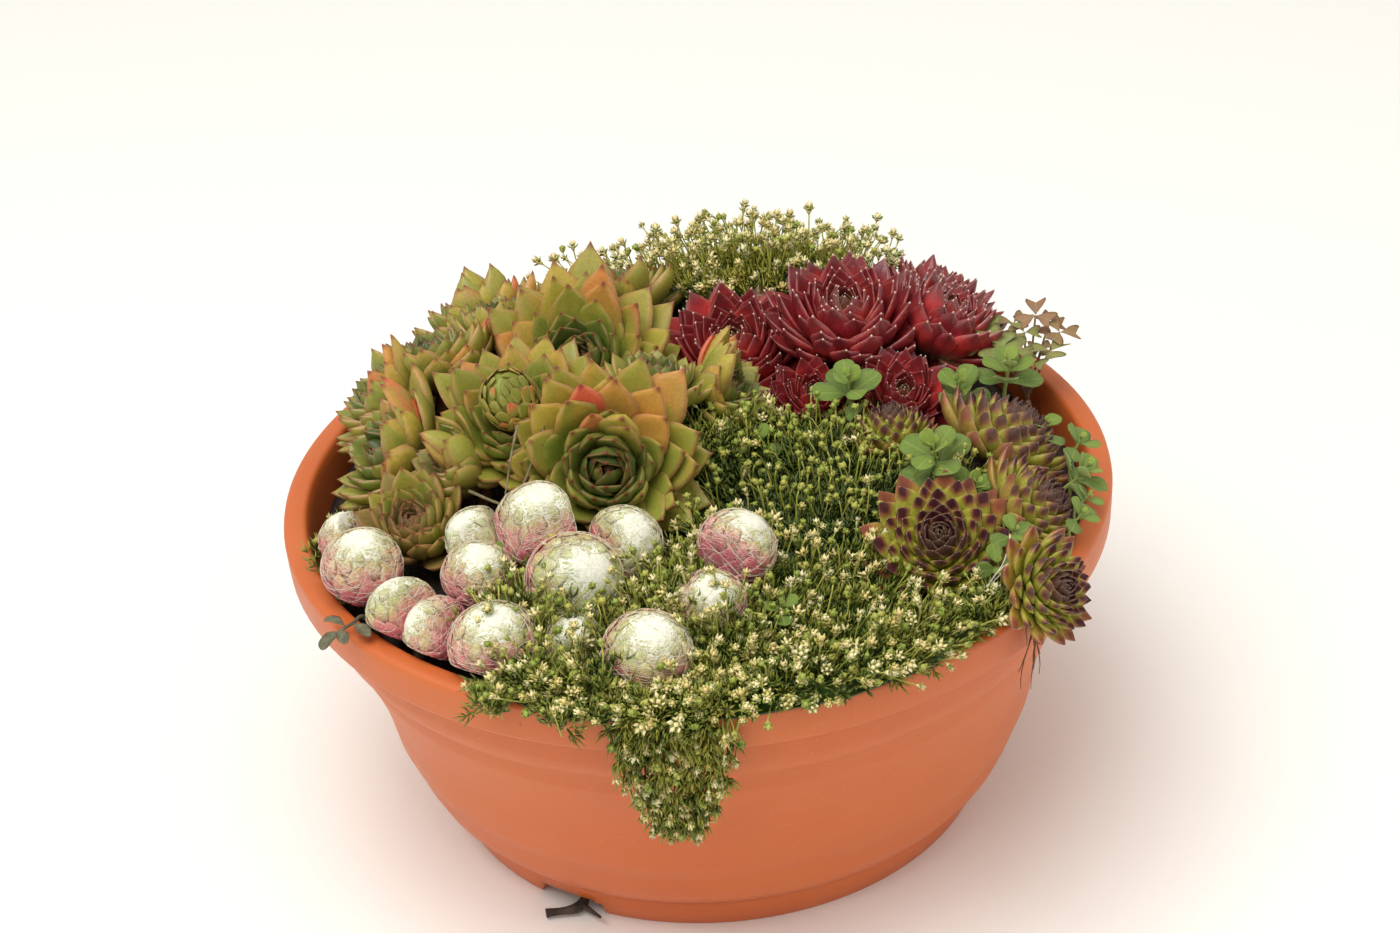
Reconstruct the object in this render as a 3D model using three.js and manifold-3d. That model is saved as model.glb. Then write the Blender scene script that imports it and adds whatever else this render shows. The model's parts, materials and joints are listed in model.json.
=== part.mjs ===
// A planted bowl of hens and chicks: green, red, purple-tipped and cobweb rosettes in peat, with mats of
// pearlwort between them and some oregano and sorrel seedlings. Millimetres, +Z up, with the origin on the
// bowl's axis in the plane it stands on. The planting's front faces -Y.
import * as THREE from "three";
import { mergeVertices } from "three/addons/utils/BufferGeometryUtils.js";
import { ConvexGeometry } from "three/addons/geometries/ConvexGeometry.js";
import Module from "manifold-3d";

const wasm = await Module();
wasm.setup();
const { Manifold } = wasm;
const { degToRad, lerp } = THREE.MathUtils;

// ---- Driving dimensions -------------------------------------------------------------------------------

const BOWL_R = 150; // the rim's outer radius
const BOWL_H = 127; // the rim's height above the surface it stands on
const FOOT_R = 100.5; // the foot ring's outer radius at the bottom
const FOOT_H = 12.5; // up to the groove above the foot ring
const WALL = 2.6;
const RIM_BAND = 14.5; // the height of the band round the rim
const RIM_W = 8.5; // the width of the rim's top
const FLOOR_Z = 8; // the underside of the bowl's floor
const BOWL_SIDES = 32;
const GAP = 0.35; // between pieces that touch on the real thing
const MERGE = 0.04; // corners nearer than this are drawn together
const NOTCHES = [-124, -4, 116]; // azimuths of the notches in the foot ring
const NOTCH_W = 27;
const NOTCH_H = 7;
const DRAIN_R = 80; // the drain holes' distance from the axis
const DRAIN_HOLE = 5; // their radius
const STEM_DEPTH = 14; // how far a stem reaches down into the soil
const STEM_SIDES = 3;
const GOLDEN_TURN = Math.PI * (3 - Math.sqrt(5));

// The heart of each rosette or seedling, its size, and where its axis leans: [name, x, y, z, radius, azimuth
// it leans to, lean from upright]. Rosettes of a kind are listed from the front to the back.
const PLANTS = {
  green: [
    ["green_front", -31, -36, 152, 35, -88, 50],
    ["green_budding", -61, -12, 160, 32, -105, 26, "bud"],
    ["green_front_left", -83, -22, 151, 24, -160, 46],
    ["green_low", -99, -42, 139, 23, -115, 20],
    ["green_side", -109, 2, 142, 28, -170, 42],
    ["green_edge", -112, 38, 146, 26, 168, 38],
    ["green_left", -94, 46, 156, 25, 130, 20],
    ["green_top", -40, 37, 154, 36, -95, 28],
    ["green_behind_top", -69, 66, 158, 24, 110, 14],
    ["green_middle", -12, 8, 161, 23, 60, 14],
    ["green_right", 13, 14, 152, 22, -12, 44],
    ["green_back", -80, 94, 146, 27, 125, 30],
    ["green_far_back", -30, 96, 150, 29, 100, 22],
  ],
  red: [
    ["red_low_left", 24, 20, 141, 17, -110, 24],
    ["red_low_middle", 45, 19, 144, 19, -92, 28],
    ["red_low_right", 77, 12, 145, 21, -72, 26],
    ["red_left", 18, 50, 149, 32, -95, 20],
    ["red_middle", 60, 48, 160, 33, -92, 8],
    ["red_right", 97, 52, 153, 28, 15, 26],
    ["red_back", 98, 90, 144, 26, 42, 32],
  ],
  purple: [
    ["purple_overhang", 114, -112, 140, 18, -45, 62],
    ["purple_front", 81, -75, 137, 25, -95, 34],
    ["purple_side", 117, -59, 139, 20, -6, 50],
    ["purple_right", 114, -14, 141, 25, 20, 40],
    ["purple_small", 71, -8, 145, 17, 95, 12],
  ],
  cobweb: [
    ["cobweb_a", -20, -127, 137, 15, -55, 22],
    ["cobweb_b", -70, -111, 134, 15.5, -95, 10],
    ["cobweb_c", -44, -112, 134, 9.5, -90, 20],
    ["cobweb_d", -90, -97, 132, 12, 180, 50],
    ["cobweb_e", 2, -104, 139, 12, -80, 25],
    ["cobweb_f", -102, -85, 133, 12.5, 130, 34],
    ["cobweb_g", -43, -86, 140, 17, -55, 46],
    ["cobweb_h", 12, -86, 149, 13.5, 0, 28],
    ["cobweb_i", -76, -76, 139, 12.5, -60, 14],
    ["cobweb_j", -26, -71, 144, 13.5, -45, 34],
    ["cobweb_k", -116, -62, 137, 14.5, -90, 6],
    ["cobweb_l", -54, -59, 146, 16.5, -90, 6],
    ["cobweb_m", -77, -57, 142, 11.5, -150, 30],
    ["cobweb_n", -123, -37, 133, 11, 150, 14],
  ],
  oregano: [
    ["oregano_stray", 98, -95, 141, 9, -100, 20],
    ["oregano_front", 83, -43, 153, 13, -110, 20],
    ["oregano_rim_front", 132.5, -49, 144, 11, -12, 36],
    ["oregano_middle", 57, 2, 156, 13, -95, 16],
    ["oregano_right", 97, 4, 151, 11, -100, 24],
    ["oregano_tall", 115, 6, 156, 12, -60, 12],
  ],
};

// How each kind grows, in shares of its radius; its leaves are so many per millimetre of that radius, and
// their shoulders so far along them and so wide. Angles are in degrees above the plane across its axis. The
// oldest leaves on the upper side of a leaning rosette are longer by the stretch times their rise.
const KINDS = {
  green: {
    leaves: 0.43, steepest: 84, flattest: 23, shortest: 0.5, longest: 0.94, width: 0.48, thick: 0.15,
    shoulders: [[0.5, 0.44], [0.8, 0.4]], curl: 0.07, stretch: 0.35, heart: 0.42, stem: 0.11,
    color: 0x8a9a3c, roughness: 0.5,
  },
  red: {
    leaves: 0.46, steepest: 84, flattest: 27, shortest: 0.5, longest: 0.94, width: 0.48, thick: 0.14,
    shoulders: [[0.6, 0.5]], curl: 0.08, stretch: 0, heart: 0.42, stem: 0.11, color: 0x7a1626, roughness: 0.4,
  },
  purple: {
    leaves: 0.54, steepest: 82, flattest: 14, shortest: 0.55, longest: 0.9, width: 0.42, thick: 0.15,
    shoulders: [[0.6, 0.5]], curl: 0.03, stretch: 0.25, heart: 0.42, stem: 0.12, color: 0x75863a, roughness: 0.5,
  },
  cobweb: { rings: 6, sides: 10, relief: 0.15, heart: 0.92, stem: 0.2, color: 0xc9b9a8, roughness: 0.8 },
  oregano: { pairs: 3, heart: 1.05, stem: 0.11, leaf: 0.8, color: 0x6f9a4c, roughness: 0.7 },
};

// ---- Solids -------------------------------------------------------------------------------------------

const at = (x, y, z) => new THREE.Vector3(x, y, z);
const polar = (r, degrees, z = 0) => at(r * Math.cos(degToRad(degrees)), r * Math.sin(degToRad(degrees)), z);

// Random numbers from 0 to 1 that are the same on each run.
function seeded(seed) {
  let state = seed * 2654435761;
  return () => {
    state = (state + 0x6d2b79f5) | 0;
    let mixed = Math.imul(state ^ (state >>> 15), 1 | state);
    mixed = (mixed + Math.imul(mixed ^ (mixed >>> 7), 61 | mixed)) ^ mixed;
    return ((mixed ^ (mixed >>> 14)) >>> 0) / 4294967296;
  };
}

// A closed geometry as a solid that can be joined and cut.
function solid(geometry) {
  const loose = geometry.index ? geometry.toNonIndexed() : geometry;
  const bare = new THREE.BufferGeometry().setAttribute("position", loose.getAttribute("position"));
  const merged = mergeVertices(bare, 1e-4);
  const corners = merged.index.array;
  const faces = [];
  for (let i = 0; i < corners.length; i += 3) {
    const [a, b, c] = corners.subarray(i, i + 3);
    if (a !== b && b !== c && c !== a) faces.push(a, b, c);
  }
  const vertProperties = merged.attributes.position.array;
  const make = (list) =>
    new Manifold(new wasm.Mesh({ numProp: 3, vertProperties, triVerts: new Uint32Array(list) }));
  const made = make(faces);
  return made.volume() < 0 ? make(faces.reverse()) : made;
}

// A geometry made along +Y, turned to run along a direction from a point.
function placed(geometry, direction, from) {
  const turn = new THREE.Quaternion().setFromUnitVectors(at(0, 1, 0), direction.clone().normalize());
  return geometry.applyQuaternion(turn).translate(from.x, from.y, from.z);
}

// A profile of [radius, height] pairs turned round the Z axis.
function lathe(profile, sides) {
  const points = profile.map(([r, z]) => new THREE.Vector2(r, z));
  return new THREE.LatheGeometry(points, sides).rotateX(Math.PI / 2);
}

// A straight rod with a few sides, from one point to another.
function rod(from, to, r, sides, tipR = r) {
  const along = to.clone().sub(from);
  const geometry = new THREE.CylinderGeometry(tipR, r, along.length(), sides).translate(0, along.length() / 2, 0);
  return solid(placed(geometry, along, from));
}

// A bent rod along the curve through several points.
function branch(points, r, sides) {
  const outline = Array.from({ length: sides }, (_, i) => {
    const corner = polar(r, (360 * i) / sides);
    return new THREE.Vector2(corner.x, corner.y);
  });
  const extrudePath = new THREE.CatmullRomCurve3(points, false, "centripetal");
  const steps = Math.round(1.5 * (points.length - 1));
  return solid(new THREE.ExtrudeGeometry(new THREE.Shape(outline), { steps, extrudePath, bevelEnabled: false }));
}

const convex = (points) => solid(new ConvexGeometry(points));

// A joined or cut solid as a named mesh, placed by its own origin.
function piece(name, shape, material, origin = at(0, 0, 0), merge = MERGE) {
  const { vertProperties, triVerts, numProp } = shape.setTolerance(merge).getMesh();
  const count = vertProperties.length / numProp;
  const positions = new Float32Array(count * 3);
  for (let i = 0; i < count; i++) positions.set(vertProperties.subarray(i * numProp, i * numProp + 3), i * 3);
  const geometry = new THREE.BufferGeometry()
    .setAttribute("position", new THREE.BufferAttribute(positions, 3))
    .setIndex(new THREE.BufferAttribute(new Uint32Array(triVerts), 1))
    .translate(-origin.x, -origin.y, -origin.z);
  geometry.computeVertexNormals();
  const mesh = new THREE.Mesh(geometry, material);
  mesh.name = name;
  mesh.position.copy(origin);
  return mesh;
}

const finish = (color, roughness) => new THREE.MeshStandardMaterial({ color, roughness, metalness: 0 });

// ---- The bowl -----------------------------------------------------------------------------------------

// The outside from the foot ring up: each step has an upright cove above a slope that flares outwards.
const OUTSIDE = [
  [FOOT_R, 0], [105, FOOT_H - 0.8], [104.2, FOOT_H + 0.6], [108.5, 16], [113, 21.5], [116.2, 30],
  [121, 44], [126, 65], [132.6, 80], [133.4, 87], [140.4, 98.5], [142.6, BOWL_H - RIM_BAND - 0.8],
  [149, BOWL_H - RIM_BAND], [BOWL_R, BOWL_H - 2], [BOWL_R - 1.2, BOWL_H],
];
// The inside from the rim down, one wall thickness in.
const INSIDE = [
  [BOWL_R - RIM_W, BOWL_H], [BOWL_R - RIM_W - 1, BOWL_H - 5], [138.6, 102], [121.6, 59], [114, 32],
  [101, FLOOR_Z + WALL],
];

function bowl() {
  const profile = [
    [0, FLOOR_Z], [FOOT_R - WALL, FLOOR_Z], [FOOT_R - WALL, 0], ...OUTSIDE, ...INSIDE, [0, FLOOR_Z + WALL],
  ];
  const cuts = NOTCHES.flatMap((azimuth) => {
    const outline = new THREE.Shape();
    outline.moveTo(-NOTCH_W / 2 - 1, -1);
    outline.lineTo(NOTCH_W / 2 + 1, -1);
    outline.lineTo(NOTCH_W / 2 - 3, NOTCH_H);
    outline.lineTo(-NOTCH_W / 2 + 3, NOTCH_H);
    const notch = new THREE.ExtrudeGeometry(outline, { depth: 20, bevelEnabled: false })
      .rotateX(Math.PI / 2)
      .rotateZ(degToRad(azimuth - 90))
      .translate(...polar(FOOT_R + 10, azimuth).toArray());
    const drain = rod(polar(DRAIN_R, azimuth, 0), polar(DRAIN_R, azimuth, 20), DRAIN_HOLE, 10);
    return [solid(notch), drain];
  });
  return solid(lathe(profile, BOWL_SIDES)).subtract(Manifold.union(cuts));
}

// Everything that lies within a gap of the bowl's wall and rim, to be cut from what grows against it.
function bowlWithGap() {
  const inside = INSIDE.map(([r, z]) => [r - GAP, z + (z === BOWL_H ? GAP : 0)]);
  const profile = [
    [BOWL_R + GAP, 30], [BOWL_R + GAP, BOWL_H + GAP], ...inside, [60, FLOOR_Z + WALL + GAP], [60, 5], [90, 5],
  ];
  return solid(lathe([...profile, profile[0]], BOWL_SIDES));
}

// ---- The ground ---------------------------------------------------------------------------------------

const GRID_RINGS = [0, 38, 74, 106, 153];
const GRID_SIDES = 16; // a half of the bowl's, so that their corners line up
const SOIL_EDGE = 106; // the soil's height along the wall of the bowl
const FOOT_CLEAR = 6; // the soil's distance below a plant's foot
const HEAP = 16; // how wide the soil is heaped round each foot
const HEAPS = [[25, 112, 141], [55, 98, 142], [55, -34, 124], [20, -118, 118], [66, -104, 117], [-8, 60, 142]];

// The soil is heaped up to each plant's foot and falls away between them and towards the wall.
function soilHeight(x, y) {
  let weight = 0.1 + 0.9 * (Math.hypot(x, y) / 140) ** 12;
  let sum = weight * SOIL_EDGE;
  for (const [cx, cy, z] of [...HEAPS, ...feet]) {
    const near = Math.exp(-((x - cx) ** 2 + (y - cy) ** 2) / (2 * HEAP ** 2));
    weight += near;
    sum += near * z;
  }
  return sum / weight;
}

// The solid between two height fields over one polar grid.
function between(low, high) {
  const rings = GRID_RINGS.slice(1);
  const positions = [];
  for (const height of [low, high]) {
    positions.push(0, 0, height(0, 0));
    for (const r of rings)
      for (let i = 0; i < GRID_SIDES; i++) {
        const p = polar(r, (360 * i) / GRID_SIDES);
        positions.push(p.x, p.y, height(p.x, p.y));
      }
  }
  const half = 1 + rings.length * GRID_SIDES;
  const vertex = (ring, i) => 1 + ring * GRID_SIDES + (i % GRID_SIDES);
  const faces = [];
  const both = (a, b, c) => faces.push(a + half, b + half, c + half, a, c, b);
  for (let i = 0; i < GRID_SIDES; i++) {
    both(0, vertex(0, i), vertex(0, i + 1));
    for (let ring = 1; ring < rings.length; ring++) {
      both(vertex(ring - 1, i), vertex(ring, i), vertex(ring, i + 1));
      both(vertex(ring - 1, i), vertex(ring, i + 1), vertex(ring - 1, i + 1));
    }
    const [a, b] = [vertex(rings.length - 1, i), vertex(rings.length - 1, i + 1)];
    faces.push(a, b, b + half, a, b + half, a + half);
  }
  const geometry = new THREE.BufferGeometry().setIndex(faces);
  geometry.setAttribute("position", new THREE.Float32BufferAttribute(positions, 3));
  return solid(geometry);
}

// The inside of the bowl, a gap clear of its wall and floor, up to above the rim.
function cavity() {
  const wall = INSIDE.map(([r, z]) => [r - GAP, z + GAP]).reverse();
  return solid(lathe([[0, FLOOR_Z + WALL + GAP], ...wall, [BOWL_R - RIM_W - GAP, 160], [0, 160]], GRID_SIDES));
}

// ---- Growing plants -----------------------------------------------------------------------------------

// The room a plant takes, as [radius, height] pairs in shares of its radius, from its foot up its axis.
const ROOM = {
  rosette: [[0, -0.14], [0.34, -0.14], [1.04, 0.22], [1.04, 0.96], [0, 0.96]],
  ball: [[0, -0.1], [1.04, -0.1], [1.04, 1.9], [0, 1.9]],
  oregano: [[0, -0.1], [0.3, -0.1], [1.1, 0.62], [1.1, 1.6], [0, 1.6]],
};
const ROOM_SIDES = 6;
const OVERLAP = 0.6; // how far the plane between two neighbours tilts
const hasOwnStem = (plant) => plant.name !== "purple_overhang"; // a runner carries that one
const roomOf = (kind) => ROOM[{ cobweb: "ball", oregano: "oregano" }[kind] ?? "rosette"];

// The planes through a convex solid's faces, as {normal, reach}, moved inwards by a gap.
function planesOf(geometry, gap) {
  const points = (geometry.index ? geometry.toNonIndexed() : geometry).getAttribute("position");
  const planes = [];
  const [a, b, c] = [at(), at(), at()];
  const middle = new THREE.Box3().setFromBufferAttribute(points).getCenter(at());
  for (let i = 0; i < points.count; i += 3) {
    [a, b, c].forEach((corner, k) => corner.fromBufferAttribute(points, i + k));
    const normal = b.clone().sub(a).cross(c.clone().sub(a));
    if (normal.length() < 1e-6) continue;
    normal.normalize();
    if (normal.dot(a) < normal.dot(middle)) normal.negate();
    planes.push({ normal, reach: normal.dot(a) - gap });
  }
  return planes;
}

// The place, axis and room of each plant, and the planes that keep it out of its neighbours and the bowl.
const plants = Object.entries(PLANTS).flatMap(([kind, rows]) =>
  rows.map(([name, x, y, z, r, azimuth, lean, habit], order) => {
    const axis = polar(Math.sin(degToRad(lean)), azimuth, Math.cos(degToRad(lean)));
    const heart = at(x, y, z);
    const foot = heart.clone().addScaledVector(axis, -KINDS[kind].heart * r);
    const turn = new THREE.Quaternion().setFromUnitVectors(at(0, 0, 1), axis);
    const widen = r / Math.cos(Math.PI / ROOM_SIDES);
    const room = lathe(roomOf(kind).map(([share, height]) => [share * widen, height * r]), ROOM_SIDES)
      .applyQuaternion(turn)
      .translate(foot.x, foot.y, foot.z);
    const planes = planesOf(room, GAP);
    return { name, kind, habit, order, r, axis, heart, foot, turn, room: solid(room), planes };
  }),
);

// Where two plants meet, the one nearer the front lies over the other, so the plane between them is tilted.
const TOWARDS_FRONT = at(0, -0.86, 0.51);
const UP = at(0, 0, 1);
for (const one of plants) {
  for (const other of plants) {
    if (other === one) continue;
    const across = other.heart.clone().sub(one.heart);
    const distance = across.length();
    across.normalize();
    const share = (distance ** 2 + one.r ** 2 - other.r ** 2) / (2 * distance);
    const meeting = one.heart.clone().addScaledVector(across, share);
    const tilt = OVERLAP * THREE.MathUtils.clamp(3 * TOWARDS_FRONT.dot(across), -1, 1);
    const normal = across.clone().addScaledVector(UP, tilt).normalize();
    one.planes.push({ normal, reach: normal.dot(meeting) - GAP / 2 });
  }
  const out = at(one.heart.x, one.heart.y, 0);
  const reach = out.length() + one.r;
  out.normalize();
  const overhangs = one.heart.clone().setZ(0).length() > BOWL_R;
  if (overhangs) {
    const normal = out.clone().multiplyScalar(-0.45).add(at(0, 0, -0.89)).normalize();
    one.planes.push({ normal, reach: normal.dot(out.clone().multiplyScalar(BOWL_R).setZ(BOWL_H)) - GAP });
  } else if (reach > BOWL_R - RIM_W - 4) {
    const edge = BOWL_R - RIM_W - 2.2; // the rim curves in on both sides of the plane
    const normal = out.clone().multiplyScalar(0.62).add(at(0, 0, -0.78)).normalize();
    one.planes.push({ normal, reach: normal.dot(out.clone().multiplyScalar(edge).setZ(BOWL_H)) - GAP });
  }
}

const feet = plants.filter(hasOwnStem).map(({ foot }) => [foot.x, foot.y, foot.z - FOOT_CLEAR]);

const excess = (plane, point) => plane.normal.dot(point) - plane.reach;
const worst = (plant, point) => Math.max(...plant.planes.map((plane) => excess(plane, point)));

// A point pressed back into its plant's own room, as leaves press against their neighbours.
function pressed(plant, point) {
  const p = point.clone();
  for (let round = 0; round < 4; round++)
    for (const plane of plant.planes) p.addScaledVector(plane.normal, -Math.max(0, excess(plane, p)));
  if (worst(plant, p) <= 0) return p;
  const inner = plant.foot.clone().lerp(plant.heart, 0.8);
  const offset = p.clone().sub(inner);
  let share = 1;
  for (const plane of plant.planes) {
    const run = plane.normal.dot(offset);
    if (run > 0) share = Math.min(share, Math.max(0.02, -excess(plane, inner) / run));
  }
  return inner.addScaledVector(offset, share * 0.999);
}

// A point given by its distance out along an azimuth and up the axis, in a plant's own frame.
const within = (plant, local) => local.clone().applyQuaternion(plant.turn).add(plant.foot);

// One fleshy leaf: a root in the core, shoulders, a keel below and a point.
function fleshyLeaf(plant, kind, root, azimuth, elevation, length, curl) {
  const outward = polar(1, azimuth);
  const across = polar(1, azimuth + 90);
  const along = outward.clone().multiplyScalar(Math.cos(degToRad(elevation)));
  along.z = Math.sin(degToRad(elevation));
  const face = across.clone().cross(along).negate();
  const width = length * kind.width;
  const thick = length * kind.thick;
  const shoulders = plant.r < 22 ? [[0.62, 0.5]] : kind.shoulders;
  const spot = (u, v, w) =>
    within(plant, root.clone().addScaledVector(along, u * length)
      .addScaledVector(across, v * width).addScaledVector(face, w));
  return [
    spot(-0.05, 0, 0), spot(0.55, 0, -thick), spot(1, 0, curl * length),
    ...shoulders.flatMap(([u, v]) => [spot(u, -v, thick * 0.25), spot(u, v, thick * 0.25)]),
  ];
}

// A leaf is raised and drawn in until it clears its neighbours, and then pressed against them.
function fittingLeaf(plant, kind, root, azimuth, elevation, length, curl) {
  let points;
  for (let raised = 0; raised < 4; raised++) {
    points = fleshyLeaf(plant, kind, root, azimuth, Math.min(88, elevation + 10 * raised),
      length * (1 - 0.04 * raised), curl);
    if (Math.max(...points.map((point) => worst(plant, point))) < 0.14 * plant.r) break;
  }
  return convex(points.map((point) => pressed(plant, point)));
}

// A stem from the plant's core straight down into its hole in the soil.
function stemEnds(plant) {
  const top = plant.foot.clone().addScaledVector(plant.axis, (plant.kind === "cobweb" ? 0.7 : 0.12) * plant.r);
  const bottom = at(top.x, top.y, Math.min(soilHeight(top.x, top.y), plant.foot.z) - STEM_DEPTH);
  return [bottom, top];
}
const stemRadius = (plant) => KINDS[plant.kind].stem * plant.r;

// A rosette: leaves at the golden turn, steep and short at the heart, long and flat at the edge.
function rosette(plant) {
  const kind = KINDS[plant.kind];
  const { r, order } = plant;
  const solids = [];
  const leaves = Math.round(kind.leaves * r);
  for (let i = 0; i < leaves; i++) {
    const age = (i + 0.5) / leaves;
    const azimuth = THREE.MathUtils.radToDeg(i * GOLDEN_TURN) + 47 * order;
    const root = polar(r * (0.08 + 0.1 * age), azimuth, r * (0.24 - 0.22 * age));
    const elevation = lerp(kind.steepest, kind.flattest, age ** 0.85);
    const upwards = polar(1, azimuth).applyQuaternion(plant.turn).z;
    const stretch = 1 + kind.stretch * Math.max(0, upwards) * age;
    const length = r * lerp(kind.shortest, kind.longest, age ** 0.8) * stretch;
    solids.push(fittingLeaf(plant, kind, root, azimuth, elevation, length, kind.curl * (1.5 - age)));
  }
  const core = lathe([[0, -0.06 * r], [0.18 * r, -0.04 * r], [0.24 * r, 0.2 * r], [0, 0.5 * r]], 6)
    .applyQuaternion(plant.turn)
    .translate(...plant.foot.toArray());
  solids.push(solid(core));
  if (plant.habit === "bud") {
    const top = within(plant, at(0, 0, 0.52 * r));
    solids.push(solid(scaleBall(0.32 * r, 4, 6, 0.14).applyQuaternion(plant.turn).translate(...top.toArray())));
  }
  return Manifold.union(solids);
}

// A ball covered in pointed scales: each second corner of a ring stands out, by turns from ring to ring.
function scaleBall(r, rings, sides, relief, corner = (point) => point) {
  const positions = [];
  const point = (ring, i) => {
    if (ring === 0) return corner(at(0, 0, -r * 0.94));
    if (ring === rings) return corner(at(0, 0, r * 0.9));
    const polarAngle = Math.PI * (1 - ring / rings);
    const out = r * ((ring + i) % 2 ? 1 : 1 - relief);
    const azimuth = (360 * (i % sides)) / sides;
    return corner(polar(out * Math.sin(polarAngle), azimuth, 0.94 * out * Math.cos(polarAngle)));
  };
  const face = (...points) => points.forEach((p) => positions.push(p.x, p.y, p.z));
  for (let ring = 0; ring < rings; ring++)
    for (let i = 0; i < sides; i++) {
      const [a, b] = [point(ring, i), point(ring, i + 1)];
      const [c, d] = [point(ring + 1, i), point(ring + 1, i + 1)];
      if (ring > 0) face(a, b, c);
      if (ring < rings - 1) face(b, d, c);
    }
  const geometry = new THREE.BufferGeometry();
  return geometry.setAttribute("position", new THREE.Float32BufferAttribute(positions, 3));
}

// A cobweb rosette is closed into a ball, and is pressed flat where it meets another.
function ball(plant) {
  const { rings, sides, relief } = KINDS.cobweb;
  const middle = at(0, 0, plant.r * 0.92);
  const corner = (point) => pressed(plant, within(plant, point.add(middle)));
  return solid(scaleBall(plant.r, rings, sides, relief, corner));
}

// A thin rounded leaf on its stem: a flat disc that is a little folded along its rib.
function roundLeaf(plant, root, azimuth, elevation, length, width) {
  const outward = polar(1, azimuth);
  const across = polar(1, azimuth + 90);
  const along = outward.clone().multiplyScalar(Math.cos(degToRad(elevation)));
  along.z = Math.sin(degToRad(elevation));
  const face = across.clone().cross(along).negate();
  const spot = (u, v, w) =>
    pressed(plant, within(plant, root.clone().addScaledVector(along, u * length)
      .addScaledVector(across, v * width).addScaledVector(face, w)));
  return convex([
    spot(-0.05, 0, 0), spot(0.6, -0.5, 0.3), spot(0.6, 0.5, 0.3), spot(1, 0, 0), spot(0.6, 0, -0.9),
  ]);
}

// A seedling: pairs of round leaves up a stem, each pair turned across the one below.
function seedling(plant) {
  const { pairs, leaf } = KINDS.oregano;
  const { r } = plant;
  const solids = [];
  for (let pair = 0; pair < pairs; pair++) {
    const height = r * (0.5 + 0.34 * pair);
    const length = r * leaf * (1 - 0.2 * pair);
    for (const side of [0, 180]) {
      const azimuth = side + 90 * pair + 35 * plant.order;
      const root = polar(0.03 * r, azimuth, height);
      solids.push(roundLeaf(plant, root, azimuth, 12 + 17 * pair, length, length * 0.8));
    }
  }
  const top = within(plant, at(0, 0, r * (0.56 + 0.34 * (pairs - 1))));
  solids.push(rod(plant.foot, top, Math.max(0.8, 0.1 * r), 3));
  return Manifold.union(solids);
}

const GROW = { green: rosette, red: rosette, purple: rosette, cobweb: ball, oregano: seedling };

function grown(plant) {
  const head = GROW[plant.kind](plant);
  if (!hasOwnStem(plant)) return head;
  return head.add(rod(...stemEnds(plant), stemRadius(plant), STEM_SIDES));
}

// ---- Runner, twig, sorrel and root --------------------------------------------------------------------

const RUNNER_R = 2.2;
const carried = plants.find((plant) => !hasOwnStem(plant));
const RUNNER = (() => {
  const azimuth = THREE.MathUtils.radToDeg(Math.atan2(carried.heart.y, carried.heart.x));
  const end = carried.foot.clone().addScaledVector(carried.axis, -0.06 * carried.r - GAP - 0.1);
  const inside = polar(128, azimuth);
  return {
    azimuth,
    path: [polar(119, azimuth, soilHeight(inside.x, inside.y) - STEM_DEPTH), inside.setZ(BOWL_H - 3),
      polar(140, azimuth, BOWL_H + 3.6), end.clone().addScaledVector(carried.axis, -6), end],
  };
})();

// The runner that carries the overhanging rosette across the rim, with the roots that hang from its end.
function runner() {
  const { path, azimuth } = RUNNER;
  const hang = (turn, drops) =>
    branch([path.at(-1), ...drops.map((drop, i) =>
      polar(154.5 + (i % 2), azimuth + turn * (i + 1), path.at(-1).z - drop))], 0.6, 3);
  return Manifold.union([branch(path, RUNNER_R, 6), hang(0.9, [7, 17, 28, 40]), hang(-0.8, [6, 14, 22])]);
}

// A dry twig that lies across the rim with a few small leaves.
const TWIG = [at(-108, -76, 108), at(-112.5, -79, 122), at(-116, -81, 129.5), at(-119, -86, 130.5),
  at(-123, -90, 130.5)];
function twig() {
  const stem = branch(TWIG, 0.9, 4);
  const leaf = (from, to, width) => {
    const across = at(0, 0, 1).cross(to.clone().sub(from)).normalize().multiplyScalar(width / 2);
    const middle = from.clone().lerp(to, 0.6);
    return convex([from.clone().lerp(to, -0.08), to, middle.clone().add(across), middle.clone().sub(across),
      middle.clone().add(at(0, 0, 0.8)), middle.clone().add(at(0, 0, -0.5))]);
  };
  return Manifold.union([
    stem, leaf(TWIG[3], at(-113, -95, 130.5), 5.5), leaf(TWIG[3].clone().lerp(TWIG[4], 0.5), at(-129, -83, 130.5), 5),
    leaf(TWIG[4].clone().lerp(TWIG[3], 0.2), at(-129, -99, 129.6), 6),
  ]);
}

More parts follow.
